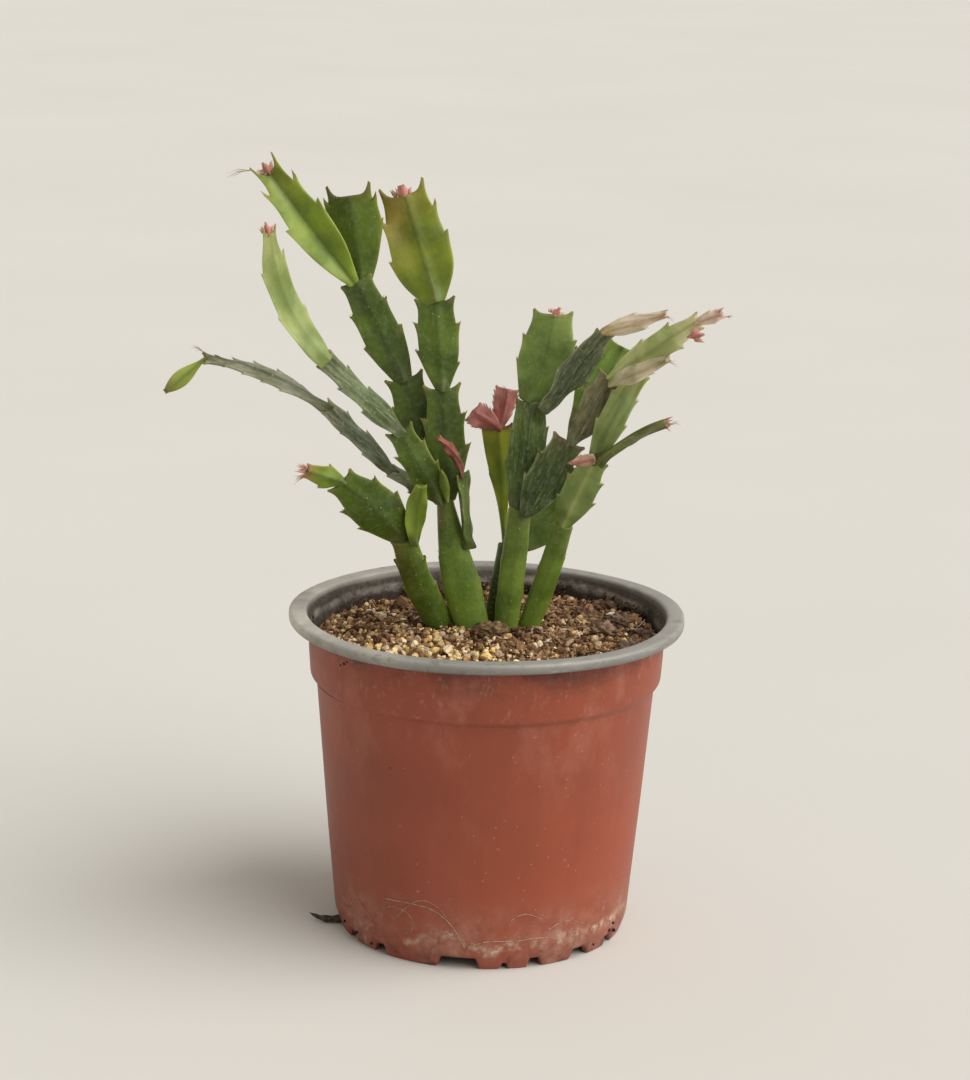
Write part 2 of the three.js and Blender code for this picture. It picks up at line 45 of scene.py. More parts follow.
potAxis = np.array([(potLow.x + potHigh.x) / 2, (potLow.y + potHigh.y) / 2, potLow.z])
millimetre = 0.001
scene = bpy.context.scene
scene.view_settings.view_transform = "Standard"
print("frame loaded:", len(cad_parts), "nodes")


def toFrame(points):
    # Millimetres from the pot's axis to metres in the frame.
    return np.asarray(points, float) * millimetre + potAxis


def linear(hexColour):
    # A colour written as six hex digits, as linear light.
    shares = np.array([int(hexColour[i:i + 2], 16) / 255 for i in (0, 2, 4)])
    return np.where(shares > 0.04045, ((shares + 0.055) / 1.055) ** 2.4, shares / 12.92)


def rgba(hexColour):
    # A colour as four linear values.
    return (*linear(hexColour), 1.0)


def smooth(value, low, high):
    # 0 below low, 1 above high, and 3s^2 - 2s^3 of the share s between them.
    share = np.clip((np.asarray(value, float) - low) / (high - low), 0, 1)
    return share * share * (3 - 2 * share)


def gridQuads(rows, columns, wrap=False):
    # The corners of every cell of a grid of points; wrap joins the last column to the first.
    index = np.arange(rows * columns).reshape(rows, columns)
    here, beside = (index, np.roll(index, -1, 1)) if wrap else (index[:, :-1], index[:, 1:])
    return np.stack([here[:-1], beside[:-1], beside[1:], here[1:]], -1).reshape(-1, 4)


def fan(first, count, pole, flip=False):
    # Triangles from a ring of points, numbered from first, to the one point at its pole.
    ring = np.arange(first, first + count)
    here, beside = (np.roll(ring, -1), ring) if flip else (ring, np.roll(ring, -1))
    return np.stack([here, beside, 0 * ring + pole], -1)


def unit(vectors):
    # Vectors divided by their lengths.
    return vectors / np.linalg.norm(vectors, axis=-1, keepdims=True)


def copies(faces, count, points):
    # The same faces for each of count equal sets of points.
    return (faces[None] + (np.arange(count) * points)[:, None, None]).reshape(-1, faces.shape[1])


def circle(across, up, sides):
    # Rings about each step of a path: one place per side, from the two directions square to it.
    turn = np.arange(sides) * 2 * np.pi / sides
    return (across[:, :, None] * np.cos(turn)[:, None] + up[:, :, None] * np.sin(turn)[:, None])


def blended(dark, pale, share):
    # From one colour to another by a share from 0 to 1.
    return linear(dark) * (1 - share) + linear(pale) * share


def makePiece(name, points, quads, triangles, materials, replaced=(), layers=None,
              materialIndex=None, flat=False):
    # One mesh object from whole arrays, with one material or a list of them. layers is the
    # array of its tints, or maps the names of its attributes to their colours.
    materials = materials if isinstance(materials, list) else [materials]
    layers = dict(tint=layers) if isinstance(layers, np.ndarray) else layers
    quads = np.asarray(quads, np.int32).reshape(-1, 4)
    triangles = np.asarray(triangles, np.int32).reshape(-1, 3)
    corners = np.concatenate([quads.ravel(), triangles.ravel()])
    starts = np.concatenate([np.arange(len(quads)) * 4,
                             len(quads) * 4 + np.arange(len(triangles)) * 3])
    mesh = bpy.data.meshes.new(name)
    mesh.vertices.add(len(points))
    mesh.vertices.foreach_set("co", toFrame(points).astype(np.float32).ravel())
    mesh.loops.add(len(corners))
    mesh.loops.foreach_set("vertex_index", corners)
    mesh.polygons.add(len(starts))
    mesh.polygons.foreach_set("loop_start", starts.astype(np.int32))
    if materialIndex is not None:
        mesh.polygons.foreach_set("material_index", np.asarray(materialIndex, np.int32))
    mesh.update(calc_edges=True)
    if flat:
        mesh.shade_flat()
    else:
        mesh.shade_smooth()
    for layer, colours in (layers or {}).items():
        values = np.ones((len(points), 4), np.float32)
        values[:, :colours.shape[1]] = colours
        attribute = mesh.attributes.new(layer, "FLOAT_COLOR", "POINT")
        attribute.data.foreach_set("color", values.ravel())
    piece = bpy.data.objects.new(name, mesh)
    for material in materials:
        mesh.materials.append(material)
    scene.collection.objects.link(piece)
    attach(piece, "root")
    if replaced:
        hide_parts(*replaced)
    return piece


def valueNoise(x, y, cell, seed):
    # Smooth random heights from -1 to 1 on a lattice of the given cell size.
    lattice = np.random.default_rng(seed).uniform(-1, 1, (97, 97))
    gx, gy = np.asarray(x) / cell + 40.5, np.asarray(y) / cell + 40.5
    ix, iy = np.floor(gx).astype(int), np.floor(gy).astype(int)
    fx, fy = gx - ix, gy - iy
    fx, fy = fx * fx * (3 - 2 * fx), fy * fy * (3 - 2 * fy)
    at = lambda dx, dy: lattice[(ix + dx) % 97, (iy + dy) % 97]
    return (at(0, 0) * (1 - fx) + at(1, 0) * fx) * (1 - fy) + (at(0, 1) * (1 - fx) + at(1, 1) * fx) * fy


def newMaterial(name, roughness, specular=0.5):
    # Starts a material; the functions after this one add nodes to the newest.
    global tree, shader
    material = bpy.data.materials.new(name)
    material.use_nodes = True
    tree = material.node_tree
    shader = tree.nodes["Principled BSDF"]
    shader.inputs["Roughness"].default_value = roughness
    shader.inputs["Specular IOR Level"].default_value = specular
    return material


def feed(socket, value):
    # Joins a value to one of the skin's own sockets.
    tree.links.new(value, shader.inputs[socket])


def node(kind, inputs, output=0, **settings):
    # A node with its settings, its inputs linked or set, and the output that is wanted.
    made = tree.nodes.new("ShaderNode" + kind)
    for key, value in settings.items():
        setattr(made, key, value)
    for key, value in inputs.items():
        if isinstance(value, bpy.types.NodeSocket):
            tree.links.new(value, made.inputs[key])
        else:
            made.inputs[key].default_value = value
    return made.outputs[output]


def objectPlace():
    # The place in the object's own metres.
    return node("TexCoord", {}, "Object")


def attribute(name, output="Color"):
    # What a piece carries at each point under this name.
    return node("Attribute", {}, output, attribute_name=name)


def stretched(place, scale, move=(0, 0, 0)):
    # A place scaled and moved along each axis.
    return node("Mapping", {"Vector": place, "Scale": scale, "Location": move})


def noise(place, scale, detail=3, roughness=0.55, output="Fac"):
    # Cloudy noise at a place.
    return node("TexNoise", {"Vector": place, "Scale": scale, "Detail": detail,
                             "Roughness": roughness}, output)


def cells(place, scale):
    # The distance to the nearest of many scattered points.
    return node("TexVoronoi", {"Vector": place, "Scale": scale, "Randomness": 1.0}, "Distance")


def between(value, low, high, outLow=0.0, outHigh=1.0):
    # The value's place from low to high, kept within 0 and 1 and stretched to the outs.
    return node("MapRange", {"Value": value, "From Min": low, "From Max": high,
                             "To Min": outLow, "To Max": outHigh})


def maths(operation, a, b):
    # One step of arithmetic on two values.
    return node("Math", {0: a, 1: b}, operation=operation)


def times(a, b):
    # Their product.
    return maths("MULTIPLY", a, b)


def mixed(share, a, b, blend="MIX"):
    # Two colours, each a socket or six hex digits.
    a, b = (rgba(tone) if isinstance(tone, str) else tone for tone in (a, b))
    return node("Mix", {0: share, 6: a, 7: b}, 2, data_type="RGBA", blend_type=blend)


def bumped(height, distance, strength=1.0, under=None):
    # A bump of so many millimetres, on top of the one under it.
    inputs = {"Height": height, "Distance": distance * millimetre, "Strength": strength}
    if under is not None:
        inputs["Normal"] = under
    normal = node("Bump", inputs)
    feed("Normal", normal)
    return normal


pot = dict(
    height=107, lipRadius=65, lipDepth=3.4, lipWidth=5.7, wall=1.2,
    collarTop=58.6, collarFoot=57.9, collarFootHeight=86, bodyTop=55.9, bodyFoot=48.9,
    footRise=5, foot=47.4, footWidth=2.2, floorUnder=6, floorThickness=1.6,
    segments=480, cornerSteps=5, wobble=0.22,
    drainRadius=2.5, drainCircle=38, drainCount=8,
)
# Gaps in the foot ring: angle from the front towards +X, width, height and slant of the sides.
footGaps = np.array([
    (-8.5, 14, 3.6, 3), (9.5, 2, 2, 0.6), (22, 4.6, 3, 1.2), (43, 8, 3.2, 2.4), (62, 5, 3, 1.5),
    (-43, 5, 3, 1), (-61, 5, 2.6, 1), (-80, 6, 3.2, 1.5), (100, 8, 3.2, 2), (140, 12, 3.6, 3),
    (180, 5, 3, 1.2), (-140, 12, 3.6, 3), (-105, 5, 3, 1.2),
])


def gapHeight(angle):
    # How high the foot ring's edge stands at each angle: the tallest gap that holds it.
    turn = (np.degrees(angle)[:, None] - footGaps[:, 0] + 180) % 360 - 180
    distance = np.abs(np.radians(turn)) * pot["foot"]
    half, flare = footGaps[:, 1] / 2, footGaps[:, 3]
    share = 1 - smooth(distance, half - flare / 2, half + 0.3)
    return (share * footGaps[:, 2]).max(1)


def roundedCorners(corners, steps):
    # Each corner of a closed outline becomes a short curve that cuts it off at its own reach.
    corners = np.asarray(corners, float)
    places, reach = corners[:, :2], corners[:, 2]
    before, after = np.roll(places, 1, 0) - places, np.roll(places, -1, 0) - places
    lengths = np.linalg.norm(before, axis=1), np.linalg.norm(after, axis=1)
    starts = places + before / lengths[0][:, None] * np.minimum(reach, lengths[0] * 0.45)[:, None]
    ends = places + after / lengths[1][:, None] * np.minimum(reach, lengths[1] * 0.45)[:, None]
    t = np.linspace(0, 1, steps)[None, :, None]
    curve = (1 - t) ** 2 * starts[:, None] + 2 * t * (1 - t) * places[:, None] + t * t * ends[:, None]
    return curve.reshape(-1, 2)


def potMaterials():
    # The pot's skins: plain plastic, and the same with what its places add.
    clay = newMaterial("terracottaPlastic", 0.52, 0.4)
    place = objectPlace()
    height = node("SeparateXYZ", {"Vector": place}, "Z")
    broad = noise(stretched(place, (14, 14, 22)), 1.0, 3)
    tone = mixed(between(broad, 0.3, 0.7), "88402a", "99492f")
    # Faint upright streaks, and blurred smears where hands have rubbed the dust.
    streaks = noise(stretched(place, (160, 160, 8)), 1.0, 4)
    tone = mixed(between(streaks, 0.5, 0.8, 0, 0.3), tone, "753a2a")
    smears = between(noise(stretched(place, (60, 60, 34), (0.2, 0.5, 0.1)), 1.0, 5, 0.62),
                     0.52, 0.72)
    upper = between(height, 0.045, 0.1, 0.1, 0.55)
    tone = mixed(times(smears, upper), tone, "b57a66")
    # Pale dust in small dabs under the lip and along the step.
    dabs = noise(stretched(place, (330, 330, 210)), 1.0, 5, 0.7)
    nearLip = between(height, 0.083, 0.1, 0.35, 1)
    collar = times(between(height, 0.074, 0.088), nearLip)
    dust = times(collar, between(dabs, 0.56, 0.7))
    tone = mixed(times(dust, 0.3), tone, "c9a08c")
    # Small pale specks and short scratches all over.
    wobble = noise(place, 190, 2, 0.5, "Color")
    bent = node("Mix", {0: 0.012, 4: place, 5: wobble}, 1, data_type="VECTOR")
    specks = cells(bent, 150)
    speckShare = times(between(specks, 0.1, 0.05),
                       between(noise(place, 70, 2), 0.5, 0.56))
    tone = mixed(times(speckShare, 0.45), tone, "c98f78")
    tiny = cells(place, 420)
    tinyShare = times(between(tiny, 0.12, 0.07),
                      between(noise(place, 120, 2), 0.55, 0.6))
    tone = mixed(times(tinyShare, 0.4), tone, "d9ab96")
    # Mineral scale: a thin wavering line low on the wall, with earthy haze around it.
    edge = noise(stretched(place, (38, 38, 10)), 1.0, 4, 0.6)
    line = maths("SUBTRACT", height, between(edge, 0.3, 0.7, 0.0055, 0.0135))
    lineShare = times(between(line, -0.0022, -0.0004), between(line, 0.0022, 0.0))
    crustNoise = between(noise(place, 330, 6, 0.72), 0.44, 0.6)
    patches = between(noise(place, 48, 3, 0.6), 0.42, 0.58)
    crust = times(times(lineShare, patches), crustNoise)
    blots = times(between(height, 0.021, 0.008),
                  between(noise(place, 105, 6, 0.7), 0.57, 0.68))
    crust = maths("MAXIMUM", crust, times(blots, 0.6))
    haze = times(between(height, 0.026, 0.006),
                 between(noise(place, 34, 5, 0.7), 0.36, 0.58))
    hazeTone = mixed(between(noise(place, 160, 5, 0.7), 0.4, 0.62), "7a4f40", "a98472")
    tone = mixed(times(haze, 0.6), tone, hazeTone)
    # Painted shade under the lip: a dark band where the lip's shadow falls on the collar, partly brown
    # grime.
    under = times(between(height, 0.0925, 0.1015),
                  between(noise(stretched(place, (70, 70, 110)), 1.0, 5, 0.65), 0.4, 0.62))
    tone = mixed(times(under, 0.75), tone, "43221a")
    tone = mixed(times(crust, 0.8), tone, "cdb69d")
    earth = times(between(height, 0.009, 0.002),
                  between(noise(place, 150, 5, 0.7), 0.5, 0.64))
    tone = mixed(times(earth, 0.75), tone, "4f2d20")
    feed("Base Color", tone)
    rough = between(broad, 0.3, 0.7, 0.42, 0.52)
    rough = maths("ADD", rough, times(crust, 0.35))
    rough = maths("ADD", rough, times(smears, 0.12))
    feed("Roughness", rough)
    fine = noise(place, 900, 3)
    under = bumped(fine, 0.03, 0.5)
    under = bumped(broad, 0.8, 0.25, under)
    bumped(crust, 0.3, 0.8, under)

    grey = newMaterial("greyPlastic", 0.45)
    place = objectPlace()
    aside, height = (node("SeparateXYZ", {"Vector": place}, axis) for axis in "XZ")
    broad = noise(place, 26, 3)
    tone = mixed(between(broad, 0.35, 0.65), "7f7c76", "938f87")
    # Painted light pales the lip's left (-X) side in patches.
    pale = times(between(aside, 0.0, -0.05),
                 between(noise(place, 60, 4, 0.6), 0.3, 0.6))
    tone = mixed(times(pale, 0.9), tone, "d6cdbb")
    # Painted shade: the lip darkens towards its lower edge.
    tone = mixed(between(height, 0.106, 0.1036, 0, 0.6), tone, "55514b")
    # Painted highlight: a pale line along the lip's top crest.
    tone = mixed(between(height, 0.1058, 0.1068, 0, 0.22), tone, "bcb7ac")
    worn = between(noise(stretched(place, (90, 90, 700)), 1.0, 5, 0.65), 0.54, 0.68, 0, 0.5)
    tone = mixed(worn, tone, "b4b0a6")
    grime = between(noise(place, 170, 6, 0.7), 0.56, 0.68, 0, 0.6)
    tone = mixed(grime, tone, "5d554a")
    # Painted shade and dirt darken the wall inside, which also has scale and clinging earth.
    inner = between(height, 0.1066, 0.1046)
    centred = node("VectorMath", {0: place, 1: tuple(potAxis)}, operation="SUBTRACT")
    flat = node("VectorMath", {0: centred, 1: (1, 1, 0)}, operation="MULTIPLY")
    radius = node("VectorMath", {0: flat}, "Value", operation="LENGTH")
    inside = times(inner, between(radius, 0.0597, 0.0588))
    tone = mixed(inside, tone, "463d32")
    scale = times(between(noise(place, 120, 6, 0.7), 0.52, 0.66), inside)
    tone = mixed(times(scale, 0.3), tone, "8c8474")
    earth = times(times(inside, between(height, 0.1062, 0.1025)),
                  between(noise(place, 85, 6, 0.75), 0.42, 0.54))
    tone = mixed(times(earth, 0.9), tone, "33241a")
    # A wavering band half way up it has kept its dust.
    level = maths("ADD", height, between(noise(place, 30, 2), 0.3, 0.7, -0.0011, 0.0011))
    band = times(between(level, 0.0996, 0.1012), between(level, 0.1034, 0.1022))
    band = times(times(band, inside),
                 between(noise(place, 75, 5, 0.65), 0.4, 0.6))
    tone = mixed(times(band, 0.8), tone, "a49c90")
    wear = between(noise(place, 420, 5, 0.7), 0.56, 0.72, 0, 0.3)
    tone = mixed(wear, tone, "a5a097")
    feed("Base Color", tone)
    rough = between(broad, 0.3, 0.7, 0.34, 0.5)
    feed("Roughness", maths("ADD", rough, times(inside, 0.4)))
    under = bumped(noise(place, 1100, 3), 0.03, 0.6)
    under = bumped(noise(place, 150, 4, 0.6), 0.25, 0.5, under)
    bumped(earth, 0.4, 0.8, under)
    return [clay, grey]


def buildPot(materials):
    # The shell turns a rounded outline about the axis; near the ground its height is pressed
    # up to the foot gaps' edge, and a slow wobble in the radius keeps it from being perfect.
    lipInner = pot["lipRadius"] - pot["lipWidth"]
    lipFoot = pot["height"] - pot["lipDepth"]
    stepFoot = pot["collarFootHeight"] - 2
    collarMiddle = (pot["collarFoot"] + pot["collarTop"]) / 2 + 0.3
    floorTop = pot["floorUnder"] + pot["floorThickness"]
    wall = pot["wall"]
    outline = [  # radius, height, how far the corner is rounded
        (pot["foot"] - 0.3, 0, 0.5), (pot["foot"] + 0.5, pot["footRise"] * 0.45, 1.5),
        (pot["bodyFoot"], pot["footRise"], 2), (52.4, 44, 12), (pot["bodyTop"], stepFoot, 0.8),
        (pot["collarFoot"], pot["collarFootHeight"], 0.8), (collarMiddle, 95.7, 6),
        (pot["collarTop"], lipFoot, 0.7), (pot["lipRadius"], lipFoot, 1.1),
        (pot["lipRadius"], pot["height"], 1.4), (lipInner, pot["height"], 1.3),
        (lipInner - 0.4, lipFoot + 1.3, 1), (pot["collarTop"] - wall, lipFoot - 0.9, 2),
        (pot["collarFoot"] - wall, pot["collarFootHeight"], 0.8),
        (pot["bodyTop"] - wall, stepFoot, 0.8),
        (pot["bodyFoot"] - wall, floorTop + 1, 2), (pot["bodyFoot"] - wall - 2, floorTop, 1),
        (pot["foot"] - pot["footWidth"] - 1.6, floorTop - 0.2, 0.1),
        (pot["foot"] - pot["footWidth"] - 1.6, pot["floorUnder"], 0.1),
        (pot["foot"] - pot["footWidth"], pot["floorUnder"] - 0.6, 0.5),
        (pot["foot"] - pot["footWidth"], 0, 0.4),
    ]
    profile = roundedCorners(outline, pot["cornerSteps"])
    angle = np.linspace(0, 2 * np.pi, pot["segments"], endpoint=False)
    radius, height = profile[:, :1], profile[:, 1:]
    gaps = gapHeight(angle)
    chips = 0.25 * np.abs(valueNoise(angle * pot["foot"], 0 * angle, 1.7, 3))
    edge = np.maximum(gaps, chips * 0.6)
    lowZone = pot["footRise"]
    pressed = np.where(height < lowZone, edge + height * (lowZone - edge) / lowZone, height)
    wobble = pot["wobble"] * (np.sin(2 * angle + 0.7) + 0.5 * np.sin(3 * angle + 2.1)
                              + 0.25 * np.sin(7 * angle)) * smooth(height, 4, 95)
    lipWave = 0.16 * np.sin(4 * angle + 1) * smooth(height, 90, 107)
    dents = valueNoise(angle * 52 + 0 * height, height + 0 * angle, 17, 8)
    dents = 0.16 * dents * smooth(height, 6, 20)
    reach = radius + wobble + dents
    # Angles run from the front (-Y) towards +X.
    points = np.stack([reach * np.sin(angle), -reach * np.cos(angle), pressed + lipWave], -1)
    rows = len(profile)
    quads = gridQuads(rows, pot["segments"], wrap=True)
    # The outline is closed, so the last row joins the first.
    lastRow = (rows - 1) * pot["segments"] + np.arange(pot["segments"])
    firstRow = np.arange(pot["segments"])
    quads = np.concatenate([quads, np.stack([lastRow, np.roll(lastRow, -1), np.roll(firstRow, -1),
                                             firstRow], -1)])
    lipStart = 8 * pot["cornerSteps"] - 3
    footStart = 17 * pot["cornerSteps"]
    row = np.arange(len(quads)) // pot["segments"]
    greyRows = (row >= lipStart) & (row < footStart)
    makePiece("potShell", points.reshape(-1, 3), quads, [], materials, ["pot"],
              materialIndex=greyRows)

    # The raised floor is one sector for each drain hole: a ruled surface from the hole's edge
    # out to the sector's outline, on both faces, with the hole's wall between them.
    count, turns = pot["drainCount"], 48
    phi = np.linspace(0, 2 * np.pi, turns, endpoint=False)
    outer = pot["foot"] - pot["footWidth"] - 1.2
    half = np.pi / count
    direction = np.stack([np.cos(phi), np.sin(phi)], -1)
    hole = np.array([pot["drainCircle"], 0.0])
    reachOut = np.full(turns, 1e3)
    for side in (-1, 1):  # the two straight sides of the sector
        normal = np.array([-np.sin(side * half), np.cos(side * half)]) * side
        slope = direction @ normal
        reachOut = np.where(slope > 1e-6, np.minimum(reachOut, -(hole @ normal) / np.where(
            slope > 1e-6, slope, 1)), reachOut)
    along = direction @ hole
    toRim = -along + np.sqrt(along ** 2 - hole @ hole + outer ** 2)
    outlinePoint = hole + direction * np.minimum(reachOut, toRim)[:, None]
    edgePoint = hole + direction * pot["drainRadius"]
    share = np.array([1, 0.6, 0.25, 0, 0, 0.25, 0.6, 1])[:, None, None]
    flatPoints = edgePoint + (outlinePoint - edgePoint) * share
    level = np.where(np.arange(8) < 4, pot["floorUnder"], floorTop - 0.1)[:, None] + 0 * phi
    turn = (np.arange(count) + 0.5) * 2 * half
    spun = np.stack([
        flatPoints[..., 0] * np.cos(turn)[:, None, None]
        - flatPoints[..., 1] * np.sin(turn)[:, None, None],
        flatPoints[..., 0] * np.sin(turn)[:, None, None]
        + flatPoints[..., 1] * np.cos(turn)[:, None, None],
        np.broadcast_to(level, (count, 8, turns))], -1)
    sector = gridQuads(8, turns, wrap=True)
    top, bottom = 7 * turns + np.arange(turns), np.arange(turns)
    # Only the rim needs an edge: along its straight sides a sector joins the next one.
    atRim = reachOut > toRim - 1e-6
    edge = np.stack([top, np.roll(top, -1), np.roll(bottom, -1), bottom], -1)
    edge = edge[atRim | np.roll(atRim, -1)]
    sector = np.concatenate([sector, edge])[:, ::-1]
    quads = (sector[None] + (np.arange(count) * 8 * turns)[:, None, None]).reshape(-1, 4)
    joined, number = np.unique(np.round(spun.reshape(-1, 3), 5), axis=0, return_inverse=True)
    quads = number.ravel()[quads]
    makePiece("potFloor", joined, quads, [], [materials[1]], ["pot"])


buildPot(potMaterials())
print("pot made")


# Every stem section, called a pad here, is one surface. base and tip end its centre line and
# bow moves the line's middle. face turns its flat side about that line, from 0 (towards -Y) to
# 90 (edge-on), and twist is the turn gained from base to tip. neck, belly and apex shape the
# outline: the share of the width at the base, where the widest place is and the share at the
# tip; rise and fall bend the curves between. left and right hold the teeth's places along each
# margin. A tooth stands out by tooth and leans forward by hook, or by claw at the tip. fold
# lifts the margins towards the flat face, wave ripples them and rib raises the middle.
padForm = dict(bow=(0, 0, 0), face=0, twist=0, neck=0.3, rise=1, belly=0.45, apex=0.7, fall=2,
    left=(0.38, 0.7, 1), right=(0.44, 0.74, 1), tooth=1.6, hook=2, claw=1.6, sharp=6, fold=0.12,
    wave=0.5, rib=0.6, edge=0.34, lens=0.6, round=0.8, hairs=3, crown=6, joint=1.5, groove=1,
    pleat=0, paint="darkGreen")
stemForm = dict(padForm, neck=0.62, apex=0.85, left=(0.3, 0.62, 1), right=(0.4, 0.75, 1),
    tooth=0.25, hook=0.5, claw=0, fold=0, wave=0.15, rib=0.1, edge=0.5, lens=2.5, round=0.5,
    hairs=2, crown=0, joint=0.5, groove=0.1, paint="leafGreen")
budForm = dict(padForm, neck=0.4, belly=0.5, apex=0.35, left=(1,), right=(1,), tooth=0, hook=0,
    claw=0, fold=0, wave=0.05, rib=0.2, edge=0.5, hairs=0, crown=3, joint=1, paint="pink")
pinkLeaf = dict(body="ca7c74", rim="e8b4a8", vein="944240", young="dc9890", old="985a4a")
palePink = dict(body="d8958c", rim="e8b8ac", vein="b8605c", young="e2a8a0", old="a87a5c")


def usual(form):
    # Makes pads that differ from a form only in the values that are given.
    return lambda base, tip, width, **own: dict(form, base=base, tip=tip, width=width, **own)


